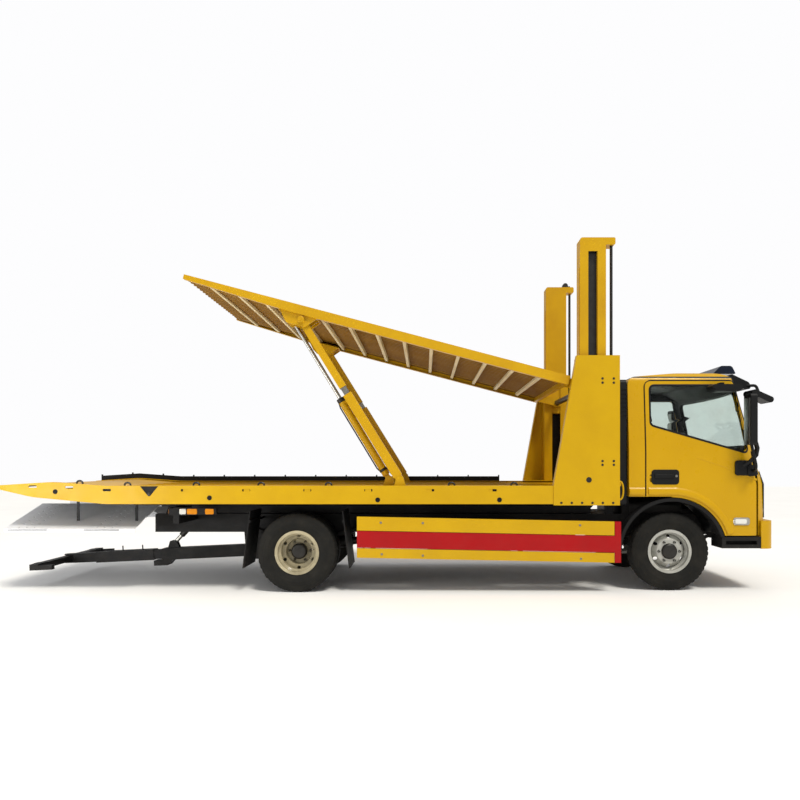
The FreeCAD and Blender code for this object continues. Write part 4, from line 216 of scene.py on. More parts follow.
def roundedLine(corners, closed=True, step=0.05):
    # corners (u, v, radius) joined by straight runs; from a to b, each radius / tan(half its angle) away,
    # a corner is p = (1-t)^2 a + 2t(1-t) corner + t^2 b
    corners = [np.array(c, float) for c in corners]
    line, count = [], len(corners)
    for i, corner in enumerate(corners):
        here, radius = corner[:2], corner[2]
        if not closed and i in (0, count - 1):
            line.append(here)
            continue
        back, ahead = unit(corners[i - 1][:2] - here), unit(corners[(i + 1) % count][:2] - here)
        reach = radius / math.tan(math.acos(np.clip(back @ ahead, -1, 1)) / 2)
        a, b = here + back * reach, here + ahead * reach
        line += [(1 - t) ** 2 * a + 2 * t * (1 - t) * here + t * t * b
                 for t in np.linspace(0, 1, 9 if radius else 1)]
    full = []
    for start, end in zip(line, line[1:] + (line[:1] if closed else [])):
        pieces = max(1, int(np.linalg.norm(end - start) / step))
        full += [start + (end - start) * k / pieces for k in range(pieces)]
    return np.array(full if closed else full + [line[-1]])


def skinRibbon(tree, path, profile, side, closed=True):
    # the profile's (across, out) pairs stand along a path of (x, z) points on the skin found from the side:
    # y = side * (skin's distance from the middle plane + out)
    path = np.asarray(path, float)
    ahead = unit(np.roll(path, -1, 0) - np.roll(path, 1, 0) if closed else np.gradient(path, axis=0))
    across = np.stack([-ahead[:, 1], ahead[:, 0]], -1)
    known, rings = cabSide["skinY"], []
    for here, sideways in zip(path, across):
        ring = []
        for shift, out in profile:
            x, z = here + shift * sideways
            hit = tree.ray_cast((x, side * cabSide["fromY"], z), (0, -side, 0))[0]
            if hit and abs(hit[1]) > cabSide["leastY"]:
                known = abs(hit[1])
            ring.append((x, side * (known + out), z))
        rings.append(ring)
    rings = np.array(rings)
    if closed:
        return rings.reshape(-1, 3), gridFaces(len(rings), len(profile), True, True)
    return tubeOf(rings)


def linearColour(hexValue):
    # sRGB hex to linear: c / 12.92 below 0.04045, else ((c + 0.055) / 1.055) ** 2.4
    parts = [int(hexValue[i:i + 2], 16) / 255 for i in (1, 3, 5)]
    return tuple(c / 12.92 if c <= 0.04045 else ((c + 0.055) / 1.055) ** 2.4 for c in parts) + (1.0,)


def perMetre(millimetres):
    # a pattern's scale from the real size of one of its marks
    return 1000.0 / millimetres


def addNode(tree, kind, settings=None, links=None):
    # adds one shader node, sets its properties and sockets and joins its inputs;
    # a hex value becomes a linear colour
    node = tree.nodes.new("ShaderNode" + kind)
    for key, value in (settings or {}).items():
        if isinstance(value, str) and value.startswith("#"):
            value = linearColour(value)
        if isinstance(key, str) and hasattr(node, key):
            setattr(node, key, value)
        else:
            node.inputs[key].default_value = value
    for key, source in (links or {}).items():
        tree.links.new(source, node.inputs[key])
    return node


def newMaterial(name):
    # an empty node tree with the piece's own coordinates
    material = bpy.data.materials.new(name)
    material.use_nodes = True
    tree = material.node_tree
    tree.nodes.clear()
    return material, tree, addNode(tree, "TexCoord").outputs["Object"]


def speckle(tree, place, sizeMm, low, high, detail=4.0):
    # noise marks of a real size, stretched so that low to high becomes 0 to 1
    noise = addNode(tree, "TexNoise", {"Scale": perMetre(sizeMm), "Detail": detail, "Roughness": 0.6},
                    {"Vector": place})
    span = addNode(tree, "MapRange", {"From Min": low, "From Max": high}, {"Value": noise.outputs["Fac"]})
    return span.outputs["Result"]


def spread(tree, value, low, high, top=1.0):
    # low where the value is 0 and high where it is at its top, in a straight line between
    return addNode(tree, "MapRange", {"From Max": top, "To Min": low, "To Max": high},
                   {"Value": value}).outputs["Result"]


def product(tree, first, second):
    # the first value times the second
    return addNode(tree, "Math", {"operation": "MULTIPLY"}, {0: first, 1: second}).outputs[0]


def finished(material, tree, settings, links, height=None, strength=0.0, depth=0.0):
    # joins a principled surface to the output, with a relief where height marks come with a depth in metres
    if height:
        relief = addNode(tree, "Bump", {"Strength": strength, "Distance": depth}, {"Height": height})
        links = dict(links, Normal=relief.outputs["Normal"])
    shader = addNode(tree, "BsdfPrincipled", settings, links)
    addNode(tree, "OutputMaterial", {}, {"Surface": shader.outputs[0]})
    return material


def layered(tree, base, marks, share, tint):
    # lays a tint over the base, a hex value or a node's colour, where the marks are,
    # at most as strongly as the share
    amount = addNode(tree, "Math", {"operation": "MULTIPLY", 1: share}, {0: marks}).outputs[0]
    settings, links = {"data_type": "RGBA", 7: tint}, {0: amount}
    (settings if isinstance(base, str) else links)[6] = base
    return addNode(tree, "Mix", settings, links).outputs[2]


def roadDust(tree, place, reach):
    # 1 at the ground, 0 at the reach in metres, broken up by 90 mm patches
    height = addNode(tree, "SeparateXYZ", {}, {0: place}).outputs["Z"]
    low = addNode(tree, "MapRange", {"From Min": reach, "From Max": 0.25 * reach},
                  {"Value": height}).outputs["Result"]
    patch = speckle(tree, place, 90, 0.3, 0.75)
    return product(tree, low, patch)


def paintedSteel(name, look):
    # enamel sprayed on sheet steel: slightly uneven colour, orange peel, road dust low down and small chips
    material, tree, place = newMaterial(name)
    patches = speckle(tree, place, look["patchMm"], 0.35, 0.7)
    colour = layered(tree, look["paint"], patches, look["fade"], look["faded"])
    chips = speckle(tree, place, look["chipMm"], 0.69, 0.73, 6.0)
    colour = layered(tree, colour, chips, look["chips"], look["under"])
    dust = roadDust(tree, place, look["dustReach"])
    colour = layered(tree, colour, dust, look["dust"], look["dustColour"])
    shine = speckle(tree, place, 140, 0.3, 0.7)
    gloss = spread(tree, shine, look["roughness"] - 0.06, look["roughness"] + 0.1)
    dull = addNode(tree, "Math", {"operation": "MULTIPLY", 1: look["dust"]}, {0: dust}).outputs[0]
    rough = addNode(tree, "Math", {"operation": "MAXIMUM"}, {0: gloss, 1: dull}).outputs[0]
    peel = addNode(tree, "TexNoise", {"Scale": perMetre(look["peelMm"]), "Detail": 2.0}, {"Vector": place})
    settings = {"Coat Weight": look["coat"], "Coat Roughness": 0.12, "Metallic": look["metallic"],
                "Specular IOR Level": look["mirror"]}
    return finished(material, tree, settings, {"Base Color": colour, "Roughness": rough},
                    peel.outputs["Fac"], look["peel"], 0.001)


# the peel is drawn at 14 mm, coarser than the real 3 mm, to show
cabPaint = {"paint": "#C99C05", "faded": "#BE9006", "under": "#7A5A22", "dustColour": "#9A7F3C",
            "patchMm": 900, "fade": 0.5, "chipMm": 9, "chips": 0.0, "dustReach": 1.0, "dust": 0.12,
            "roughness": 0.3, "peelMm": 14, "peel": 0.05, "coat": 0.06, "mirror": 0.2, "metallic": 0.0}
bodyPaint = dict(cabPaint, paint="#CCA204", faded="#BE9406", chips=0.3, chipMm=16, roughness=0.36, coat=0.03,
                 patchMm=520, fade=0.7, peel=0.09)
liftPaint = dict(bodyPaint, paint="#CC9F07", faded="#B8890C", chips=0.45, dust=0.0, roughness=0.38)
stripePaint = dict(bodyPaint, paint="#A80309", faded="#99040A", under="#6B1512", dustColour="#7A4038",
                   roughness=0.34)
framePaint = dict(bodyPaint, paint="#101011", faded="#171616", under="#4A3B30", dustColour="#3E382F", dust=0.3,
                  roughness=0.48, coat=0.0, chips=0.3)
frontWheelPaint = dict(bodyPaint, paint="#B9B9B2", faded="#A5A59D", under="#57503F", dustColour="#4C4538",
                       dust=0.35, roughness=0.34, metallic=0.35, coat=0.2, dustReach=0.8, chips=0.3,
                       patchMm=160)
rearWheelPaint = dict(frontWheelPaint, paint="#B8AE90", faded="#9A8F70", metallic=0.0, dust=0.5, roughness=0.5)
# the deck's yellow underside is drawn dark brown: painted shade under the deck
paintedShadeDeckLook = dict(liftPaint, paint="#8C6724", faded="#74531C", under="#513A1C", chips=0.6, roughness=0.6,
                      coat=0.0)
# the yellow crossbars are drawn pale cream: a painted highlight of the floor's bounce light on their lower
# flanges
paintedHighlightBarLook = dict(liftPaint, paint="#E9DCB4", faded="#D2BE86", under="#9C8354", roughness=0.5, coat=0.0)

cabYellow = paintedSteel("cab_baked_enamel", cabPaint)
bodyYellow = paintedSteel("bed_sprayed_enamel", bodyPaint)
liftYellow = paintedSteel("lift_sprayed_enamel", liftPaint)
stripeRed = paintedSteel("red_stripe_enamel", stripePaint)
frameBlack = paintedSteel("chassis_black_paint", framePaint)
frontWheelSilver = paintedSteel("front_wheel_silver_paint", frontWheelPaint)
rearWheelCream = paintedSteel("rear_wheel_cream_paint", rearWheelPaint)
paintedShadeDeckUnderside = paintedSteel("deck_underside_painted_shade", paintedShadeDeckLook)
paintedHighlightCrossbars = paintedSteel("crossbar_painted_highlight", paintedHighlightBarLook)


def mouldedPlastic(name, look):
    # ABS or polypropylene with a spark-eroded grain: small bumps and a dull, even sheen
    material, tree, place = newMaterial(name)
    marks = speckle(tree, place, 200, 0.35, 0.7)
    colour = layered(tree, look["plastic"], marks, look["wear"], look["worn"])
    colour = layered(tree, colour, roadDust(tree, place, look["dustReach"]), look["dust"], look["dustColour"])
    grain = addNode(tree, "TexVoronoi", {"Scale": perMetre(look["grainMm"])}, {"Vector": place})
    gloss = spread(tree, marks, look["roughness"] - 0.08, look["roughness"] + 0.08, 1 / look["wear"])
    return finished(material, tree, {"Specular IOR Level": look["mirror"]},
                    {"Base Color": colour, "Roughness": gloss},
                    grain.outputs["Distance"], look["grain"], 0.0006)


trimPlastic = {"plastic": "#0E0F10", "worn": "#151617", "wear": 0.6, "dustColour": "#4A453D", "dustReach": 0.8,
               "dust": 0.35, "grainMm": 3, "grain": 0.25, "roughness": 0.5, "mirror": 0.22}
# the grain is drawn at 3 mm, the real one is about 1 mm
lampShell = dict(trimPlastic, grain=0.6, grainMm=8, roughness=0.15, dust=0.1)
blackAbs = mouldedPlastic("black_grained_abs", trimPlastic)
mudRubber = mouldedPlastic("mudguard_polypropylene",
                           dict(trimPlastic, plastic="#111112", worn="#191818", dust=0.35, roughness=0.66))
dashGrey = mouldedPlastic("dash_grained_abs", dict(trimPlastic, plastic="#2E3033", worn="#3A3C3F", dust=0.0))
barNavy = mouldedPlastic("light_bar_smoked_polycarbonate",
                         dict(trimPlastic, plastic="#141C2C", worn="#1B2537", grain=0.04, roughness=0.16))
sealRubber = mouldedPlastic("window_seal_rubber",
                            dict(trimPlastic, plastic="#0B0B0C", worn="#141414", grain=0.1, roughness=0.6))
lampAmber = mouldedPlastic("lamp_amber_acrylic", dict(lampShell, plastic="#E8930E", worn="#D6800C"))
lampRed = mouldedPlastic("lamp_red_acrylic", dict(lampShell, plastic="#9E0A0C", worn="#86080B"))
lampWhite = mouldedPlastic("lamp_white_acrylic", dict(lampShell, plastic="#E4E4DE", worn="#D2D1C8",
                                                      roughness=0.18))


def tyreCompound(name, look):
    # carbon-black rubber: near black with patches of brown dust and a faint waxy sheen
    material, tree, place = newMaterial(name)
    marks = speckle(tree, place, 45, 0.35, 0.7)
    colour = layered(tree, look["rubber"], marks, 0.7, look["scuffed"])
    colour = layered(tree, colour, speckle(tree, place, 170, 0.42, 0.72), look["dust"], look["dustColour"])
    grit = addNode(tree, "TexNoise", {"Scale": perMetre(look["gritMm"]), "Detail": 3.0}, {"Vector": place})
    rough = spread(tree, marks, 0.62, 0.85)
    return finished(material, tree, {"Specular IOR Level": 0.2},
                    {"Base Color": colour, "Roughness": rough}, grit.outputs["Fac"], 0.25, 0.0008)


tyreRubber = tyreCompound("tyre_rubber", {"rubber": "#131311", "scuffed": "#1E1D1A", "dust": 0.3,
                                          "dustColour": "#37332C", "gritMm": 6})


def bareMetal(name, look):
    # ground or rolled metal: fine lines along one direction, stains and rough patches
    material, tree, place = newMaterial(name)
    stretched = addNode(tree, "Mapping", {"Scale": look["stretch"]}, {"Vector": place}).outputs[0]
    lines = addNode(tree, "TexNoise", {"Scale": perMetre(look["lineMm"]), "Detail": 3.0},
                    {"Vector": stretched})
    stains = speckle(tree, place, look["stainMm"], 0.4, 0.72)
    colour = layered(tree, look["metal"], stains, look["stain"], look["stained"])
    rough = spread(tree, lines.outputs["Fac"], look["roughness"] - 0.07, look["roughness"] + 0.14)
    return finished(material, tree, {"Metallic": look["metallic"]},
                    {"Base Color": colour, "Roughness": rough}, lines.outputs["Fac"], 0.12, 0.0006)


rodSteel = {"metal": "#B9B8B2", "stained": "#7B756A", "stretch": (1, 1, 0.05), "lineMm": 4, "stainMm": 60,
            "stain": 0.4, "roughness": 0.26, "metallic": 1.0}
chromedSteel = bareMetal("chromed_rod_steel", rodSteel)
zincSteel = bareMetal("zinc_plated_steel",
                      dict(rodSteel, metal="#8E8C86", stained="#5C564A", roughness=0.42, stainMm=25))
darkSteel = bareMetal("oiled_black_steel",
                      dict(rodSteel, metal="#3B3A38", stained="#241F1B", roughness=0.38, metallic=0.8))
# pale aluminium drawn near white, brightened by painted light in place of the light it loses in the shade
# under the bed
paintedLightRampSheet = bareMetal("ramp_aluminium_with_painted_light",
                          dict(rodSteel, metal="#F2F3F5", stained="#DADBDD", stretch=(0.06, 1, 1), stainMm=130,
                               roughness=0.5, metallic=0.15))


def clearPane(name, look):
    # toughened float glass with a faint green tint and a thin film of dust
    material, tree, place = newMaterial(name)
    film = speckle(tree, place, 220, 0.4, 0.8)
    colour = layered(tree, look["glass"], film, 0.3, look["film"])
    rough = spread(tree, film, look["roughness"], look["roughness"] + 0.03)
    return finished(material, tree, {"IOR": look["ior"], "Transmission Weight": 1.0},
                    {"Base Color": colour, "Roughness": rough})


cabGlass = clearPane("cab_float_glass", {"glass": "#DFE8E4", "film": "#D2D3CB", "roughness": 0.01, "ior": 1.2})


def wovenCloth(name, look):
    # polyester seat cloth: a plain weave of warp and weft bands, soft sheen, no gloss
    material, tree, place = newMaterial(name)
    bands = {"Scale": perMetre(look["threadMm"]) / 6, "Distortion": 0.4}
    warp, weft = [addNode(tree, "TexWave", dict(bands, bands_direction=direction), {"Vector": place})
                  for direction in "YZ"]
    weave = product(tree, warp.outputs["Fac"], weft.outputs["Fac"])
    colour = layered(tree, look["thread"], weave, 1.0, look["raised"])
    return finished(material, tree, {"Roughness": 0.92, "Sheen Weight": 0.3, "Sheen Roughness": 0.5},
                    {"Base Color": colour}, weave, 0.5, 0.001)


seatCloth = wovenCloth("seat_polyester_weave", {"thread": "#26282C", "raised": "#3D4148", "threadMm": 8})
# the threads are drawn 8 mm wide, the real ones are under 1 mm


def treadPlate(name, look):
    # enamelled tear plate: short raised bars, crosswise in turn, one in each square of the pitch
    material, tree, place = newMaterial(name)
    patches = speckle(tree, place, look["patchMm"], 0.32, 0.68)
    colour = layered(tree, look["paint"], patches, 0.8, look["faded"])
    cells = addNode(tree, "VectorMath", {"operation": "SCALE", "Scale": perMetre(look["pitchMm"])}, {0: place})
    inCell = addNode(tree, "VectorMath", {"operation": "FRACTION"}, {0: cells.outputs[0]})
    centred = addNode(tree, "VectorMath", {"operation": "SUBTRACT", 1: (0.5, 0.5, 0.0)},
                      {0: inCell.outputs[0]})
    turn = addNode(tree, "TexChecker", {"Scale": perMetre(look["pitchMm"])}, {"Vector": place}).outputs["Fac"]
    along, across = [addNode(tree, "VectorMath", {"operation": "MULTIPLY", 1: shape}, {0: centred.outputs[0]})
                     for shape in (look["bar"], look["bar"][1::-1] + (0.0,))]
    bar = addNode(tree, "Mix", {"data_type": "VECTOR"}, {0: turn, 4: along.outputs[0], 5: across.outputs[0]})
    far = addNode(tree, "VectorMath", {"operation": "LENGTH"}, {0: bar.outputs[1]}).outputs["Value"]
    raised = addNode(tree, "MapRange", {"From Min": 1.0, "From Max": 0.7}, {"Value": far}).outputs["Result"]
    onBars = product(tree, speckle(tree, place, 30, 0.62, 0.7, 6.0), raised)
    colour = layered(tree, colour, onBars, look["scuff"], look["under"])
    colour = layered(tree, colour, speckle(tree, place, 260, 0.45, 0.75), look["dirt"], look["dirtColour"])
    return finished(material, tree, {"Roughness": 0.45, "Coat Weight": 0.15},
                    {"Base Color": colour}, raised, 0.6, 0.0025)


bedTread = treadPlate("bed_floor_tread_plate",
                      {"paint": "#DCA908", "faded": "#C79410", "under": "#7C6B4A", "dirtColour": "#8B7A50",
                       "pitchMm": 46, "patchMm": 480, "scuff": 0.8, "dirt": 0.35, "bar": (2.2, 7.0, 0.0)})
print("materials:", len(bpy.data.materials))

studio = {"eye": (0.35, -8.25, 1.30), "lens": 31.9, "sensor": 36.0, "shiftX": -0.031, "shiftY": 0.081,
          "sky": "#FDFDFE", "skySeen": 1.0, "skyLight": 0.52}
scene = bpy.context.scene
scene.view_settings.view_transform = "Standard"

lensData = bpy.data.cameras.new("photo_camera")
lensData.lens, lensData.sensor_width = studio["lens"], studio["sensor"]
lensData.shift_x, lensData.shift_y = studio["shiftX"], studio["shiftY"]
camera = bpy.data.objects.new("photo_camera", lensData)
camera.location = studio["eye"]
camera.rotation_euler = (math.radians(90), 0, 0)  # looks along +Y
scene.collection.objects.link(camera)
scene.camera = camera

# the lamps' turns and the sun's size are angles in degrees
lamps = {"roof_softbox": {"kind": "AREA", "place": (0, -0.8, 7.5), "turn": (0, 0, 0), "power": 130,
                          "size": (11, 6), "colour": "#FFFFFF"},
         "front_softbox": {"kind": "AREA", "place": (0.5, -9.5, 4.6), "turn": (66, 0, 0), "power": 30,
                           "size": (10, 3), "colour": "#FFFDF8"},
         "low_side_softbox": {"kind": "AREA", "place": (-4.9, -4.2, 0.75), "turn": (86, 0, -24), "power": 70,
                              "size": (2.4, 0.7), "colour": "#FFFFFF"},
         "window_sun": {"kind": "SUN", "place": (0, 0, 9), "turn": (28, 18, 0), "power": 2.1,
                        "size": 14, "colour": "#FFFAF0"}}
for lampName, look in lamps.items():
    light = bpy.data.lights.new(lampName, look["kind"])
    light.energy, light.color = look["power"], linearColour(look["colour"])[:3]
    if look["kind"] == "AREA":
        light.shape, light.size, light.size_y = "RECTANGLE", *look["size"]
    else:
        light.angle = math.radians(look["size"])
    lamp = bpy.data.objects.new(lampName, light)
    lamp.location, lamp.rotation_euler = look["place"], [math.radians(a) for a in look["turn"]]
    scene.collection.objects.link(lamp)

world = bpy.data.worlds.new("studio_sky")
world.use_nodes = True
backdrop = world.node_tree.nodes["Background"]
backdrop.inputs["Color"].default_value = linearColour(studio["sky"])
rays = addNode(world.node_tree, "LightPath").outputs
seen = addNode(world.node_tree, "Math", {"operation": "MAXIMUM"},
               {0: rays["Is Camera Ray"], 1: rays["Is Transmission Ray"]})
glow = spread(world.node_tree, seen.outputs[0], studio["skyLight"], studio["skySeen"])
world.node_tree.links.new(glow, backdrop.inputs["Strength"])
scene.world = world

paper = {"half": 34.0, "tone": "#FDFDFC", "mottled": "#F8F8F7", "mottleMm": 1800, "roughness": 0.9}
floorMesh = bpy.data.meshes.new("studio_floor")
floorMesh.from_pydata([(x * paper["half"], y * paper["half"], 0.0)
                       for x, y in ((-1, -1), (1, -1), (1, 1), (-1, 1))], [], [(0, 1, 2, 3)])
floor = bpy.data.objects.new("studio_floor", floorMesh)
scene.collection.objects.link(floor)
paperMaterial, tree, place = newMaterial("seamless_paper")
tone = layered(tree, paper["tone"], speckle(tree, place, paper["mottleMm"], 0.3, 0.7), 1.0, paper["mottled"])
finished(paperMaterial, tree, {"Roughness": paper["roughness"]}, {"Base Color": tone})
floorMesh.materials.append(paperMaterial)
print("camera, lights and floor")

tyre = {"radius": 0.4025, "halfTread": 0.084, "crown": 0.0035, "across": 61, "steps": 352,
        "grooves": (-0.046, 0.0, 0.046), "grooveDeep": 0.011, "grooveWide": 0.007, "zigzag": 0.0045,
        "pitches": 44, "slotShare": 0.32, "slotFrom": 0.060, "slotDeep": 0.005, "lugDeep": 0.003,
        "wall": [(0.394, 0.088), (0.383, 0.0935), (0.366, 0.099), (0.345, 0.1030), (0.342, 0.1015),
                 (0.320, 0.1035), (0.296, 0.1020), (0.293, 0.1002), (0.270, 0.0955), (0.247, 0.087),
                 (0.232, 0.0795), (0.222, 0.074), (0.206, 0.074)]}
# the wall's (radius, half width) pairs go from the shoulder to the bead


def tyreForm(centre, outward):
    # (t, s) -> a closed section s goes round the axle: tread, shoulder, sidewall, bead, inner wall;
    # radius drops by the groove depth in three zigzag grooves and in the shoulder slots
    count, steps = tyre["across"], tyre["steps"]
    across = np.linspace(-1, 1, count) * tyre["halfTread"]
    crown = tyre["radius"] - tyre["crown"] * (across / tyre["halfTread"]) ** 2
    wallR, wallY = np.array(tyre["wall"]).T
    y = np.concatenate([across, wallY, -wallY[::-1]])
    radius = np.repeat(np.concatenate([crown, wallR, wallR[::-1]])[None], steps, 0)
    turn = np.arange(steps) * 2 * math.pi / steps
    zigzag = tyre["zigzag"] * (np.abs((turn * tyre["pitches"] / math.pi) % 2 - 1) - 0.5)
    for middle in tyre["grooves"]:
        near = np.abs(across[None] - middle - zigzag[:, None]) < tyre["grooveWide"] / 2
        radius[:, :count] -= near * tyre["grooveDeep"]
    lug = (turn * tyre["pitches"] / (2 * math.pi)) % 1 < tyre["slotShare"]
    radius[:, :count] -= (lug[:, None] & (np.abs(across)[None] > tyre["slotFrom"])) * tyre["slotDeep"]
    for k in (0, 1):
        radius[:, count + k] -= lug * tyre["lugDeep"]
        radius[:, -1 - k] -= lug * tyre["lugDeep"]
    points = np.stack([radius * np.cos(turn)[:, None], np.repeat(y[None] * outward, steps, 0),
                       radius * np.sin(turn)[:, None]], -1)
    return points.reshape(-1, 3) + centre, gridFaces(steps, len(y), True, True)


def raisedRings(rings):
    # (x, z) outlines, each at its own y, joined from the first to the last
    return tubeOf(np.array([np.column_stack([flat[:, 0], np.full(len(flat), y), flat[:, 1]])
                            for flat, y in rings]))


hexSection = circleSection(1.0, 6)


def hexagons(rings):
    # a hexagon along y, one ring for each (size, height) pair
    return raisedRings([(hexSection * size, height) for size, height in rings])


def wheelNuts(centre, outward, look):
    # hexagon nuts with a domed stud end, count of them round the circle
    size, height, circle = look["nut"], look["nutHigh"], look["circle"]
    turn = np.arange(look["count"]) * 2 * math.pi / look["count"]
    stud = [(size * 0.5, 0), (size * 0.5, height * 1.5), (size * 0.3, height * 1.75), (0, height * 1.8)]
    points, faces = together(hexagons([(size, 0.0), (size, height * 0.8), (size * 0.86, height)]),
                             turned(stud, (0, 0, 0), (0, 1, 0), 12))
    places = centre + np.stack([circle * np.cos(turn), np.zeros(len(turn)), circle * np.sin(turn)], -1)
    return copies((points * (1, outward, 1), faces), places)


wheels = {"front": {"x": 2.885, "ys": (0.830,), "body": "front_wheel_", "tyreNode": "front_tyre_",
                    "tyre": "tyre_front_", "rimNode": "front_rim_", "rim": "wheel_front_",
                    "paint": frontWheelSilver, "slot": "front_wheel_paint",
                    "faceY": 0.895, "valveY": 0.846, "valveOut": 0.176},
          "rear": {"x": -0.955, "ys": (0.704, 0.940), "body": "rear_wheels_", "tyreNode": "rear_tyres_",
                   "tyre": "tyres_rear_", "rimNode": "rear_rims_", "rim": "wheels_rear_",
                   "paint": rearWheelCream, "slot": "rear_wheel_paint",
                   "faceY": 0.831, "valveY": 0.888, "valveOut": 0.158}}
hub = {"z": 0.4025, "radius": 0.083, "circle": 0.108, "count": 6, "nut": 0.0150, "nutHigh": 0.020}
valve = {"up": 0.02, "lean": -0.012, "long": 0.032, "thick": 0.009, "corner": 0.004}
for sideName, side in sides.items():
    for kind, look in wheels.items():
        middle, body = np.array([look["x"], 0, hub["z"]]), look["body"] + sideName
        twins = together(*[tyreForm(middle + (0, side * y, 0), side) for y in look["ys"]])
        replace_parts(makePiece(look["tyre"] + sideName, twins, body, tyreRubber, 24),
                    look["tyreNode"] + sideName)
        dressNode(look["rimNode"] + sideName, look["rim"] + sideName, [look["paint"], darkSteel],
                  lambda c, n, m=middle: np.hypot(c[:, 0] - m[0], c[:, 2] - m[2]) < hub["radius"])
        makePiece("wheel_nuts_%s_%s" % (kind, sideName),
                  wheelNuts(middle + (0, side * look["faceY"], 0), side, hub),
                  body, darkSteel)
        stem = middle + (look["valveOut"], side * look["valveY"], valve["up"])
        tube = roundedBar(stem, stem + (valve["lean"], side * valve["long"], 0), valve["thick"],
                          valve["thick"], valve["corner"])
        makePiece("wheel_valve_%s_%s" % (kind, sideName), tube, body, zincSteel)
print("wheels")

bedShape = {"halfWidth": 1.130, "railInner": 1.068, "top": 1.090, "notchX": -2.42, "notchHalf": 0.095,
            "notchY": 1.126, "notchGap": 0.0012, "taperX": -2.86, "topReach": 0.05, "topZ": (1.04, 1.14),
            "beamTop": 1.062, "beamEnd": -3.4, "railGap": 0.002, "underTop": 1.13}


def bedFaces(centres, normals):
    # 0 side paint, 1 tread plate on top, 2 black beams below, 2 also in the V notch
    x, y, z = np.abs(centres[:, 0] - bedShape["notchX"]), np.abs(centres[:, 1]), centres[:, 2]
    low, high = bedShape["topZ"]
    top = (normals[:, 2] > 0.9) & (y < bedShape["railInner"] + bedShape["topReach"]) & (z > low) & (z < high)
    beams = (z < bedShape["beamTop"]) & (centres[:, 0] > bedShape["beamEnd"]) | (normals[:, 2] < -0.7)
    below = (y < bedShape["railInner"] - bedShape["railGap"]) & beams & (z < bedShape["underTop"])
    notch = (x < bedShape["notchHalf"]) & (np.abs(y - bedShape["notchY"]) < bedShape["notchGap"])
    return np.where(notch, 2, np.where(top, 1, np.where(below, 2, 0)))


tower = {"x": 2.05, "rodX": 2.245, "rodY": 1.040, "rodReach": 0.031, "grooveHalf": 0.095,
         "grooveY": (0.93, 1.095), "slotHalf": 0.0469, "slotY": (1.03, 1.0848), "slotZ": (2.04, 3.47),
         "shaftY": 0.925}


def guideFaces(centres, normals):
    # 2 round the rods' glands and in the groove that the post runs in
    x, y = centres[:, 0], np.abs(centres[:, 1])
    glands = np.hypot(x - tower["rodX"], y - tower["rodY"]) < tower["rodReach"]
    near, far = tower["grooveY"]
    groove = (np.abs(x - tower["x"]) < tower["grooveHalf"]) & (y > near) & (y < far)
    return np.where(glands | groove, 2, 0)


def postFaces(centres, normals):
    # 1 in the post's long slot and on the shaft between the posts
    x, y, z = centres[:, 0], np.abs(centres[:, 1]), centres[:, 2]
    slot = (np.abs(x - tower["x"]) < tower["slotHalf"]) & (y > tower["slotY"][0]) & (y < tower["slotY"][1])
    return slot & (z > tower["slotZ"][0]) & (z < tower["slotZ"][1]) | (y < tower["shaftY"])


dressNode("bed", "bed_and_strut_feet", [bodyYellow, bedTread, frameBlack], bedFaces)
dressNode("kerb_rail", "kerb_rail_far_side", [frameBlack])
dressNode("tower_shrouds", "tower_shrouds_plate", [bodyYellow])
dressNode("mast_guides", "mast_guides_and_barrels", [liftYellow, chromedSteel, darkSteel],
          guideFaces)
dressNode("lift_posts", "lift_posts_and_shaft", [liftYellow, darkSteel], postFaces)
dressNode("lift_rods", "lift_rods_and_sheave", [darkSteel])

fixings = {"headRadius": 0.008, "headHeight": 0.006, "washer": 0.012, "panelY": 1.100, "shroudY": 1.139,
           "shroudBolts": [(x, z) for x in (2.133, 2.246) for z in (2.166, 2.124, 1.338, 1.300)],
           "skirtBolts": [(1.72 + 0.104 * k, 0.918) for k in range(6)], "eye": (1.997, 1.149),
           "notchY": 1.128, "notchZ": 1.005,
           "panelBolts": [(-0.094, 0.716), (0.330, 0.712), (-0.084, 0.398), (0.330, 0.384), (1.916, 0.690),
                          (1.926, 0.352)]}


def boltHead(side):
    # a washer and a hexagon head with a chamfered top, standing out to the side
    r, h, w = fixings["headRadius"], fixings["headHeight"], fixings["washer"]
    washer = turned([(0, -0.002), (w, -0.002), (w, 0.002), (w * 0.9, 0.003), (0, 0.003)], (0, 0, 0),
                    (0, 1, 0), 20)
    points, faces = together(washer, hexagons([(r, 0.0), (r, h * 0.8), (r * 0.84, h)]))
    return points * (1, side, 1), faces


def grommet(place, side, radius):
    # a rubber ring round a hole, whose dark middle is a flat disc of painted shade: a bead profile turned
    # about the crosswise axis
    bead = [(0.0, -0.001), (0.0, 0.001), (radius * 0.62, 0.001), (radius * 0.72, 0.0045),
            (radius * 0.9, 0.005), (radius, 0.003), (radius, -0.001)]
    return turned(bead, place, (0, side, 0), 24)


def lashingStaple(x, y, z):
    # a bent round bar: half a circle carried along x, with short feet
    turn, wide, thick = np.linspace(0, math.pi, 13), lashing["wide"], lashing["thick"]
    heights = z + lashing["leg"] + lashing["high"] * np.sin(turn)
    arch = np.stack([x + wide * np.cos(turn), np.full(13, y), heights], -1)
    feet = [[(x + reach, y, z - lashing["sunk"])] for reach in (wide, -wide)]
    return carried(circleSection(thick, 10), np.concatenate([feet[0], arch, feet[1]]), up=(0, 1, 0))


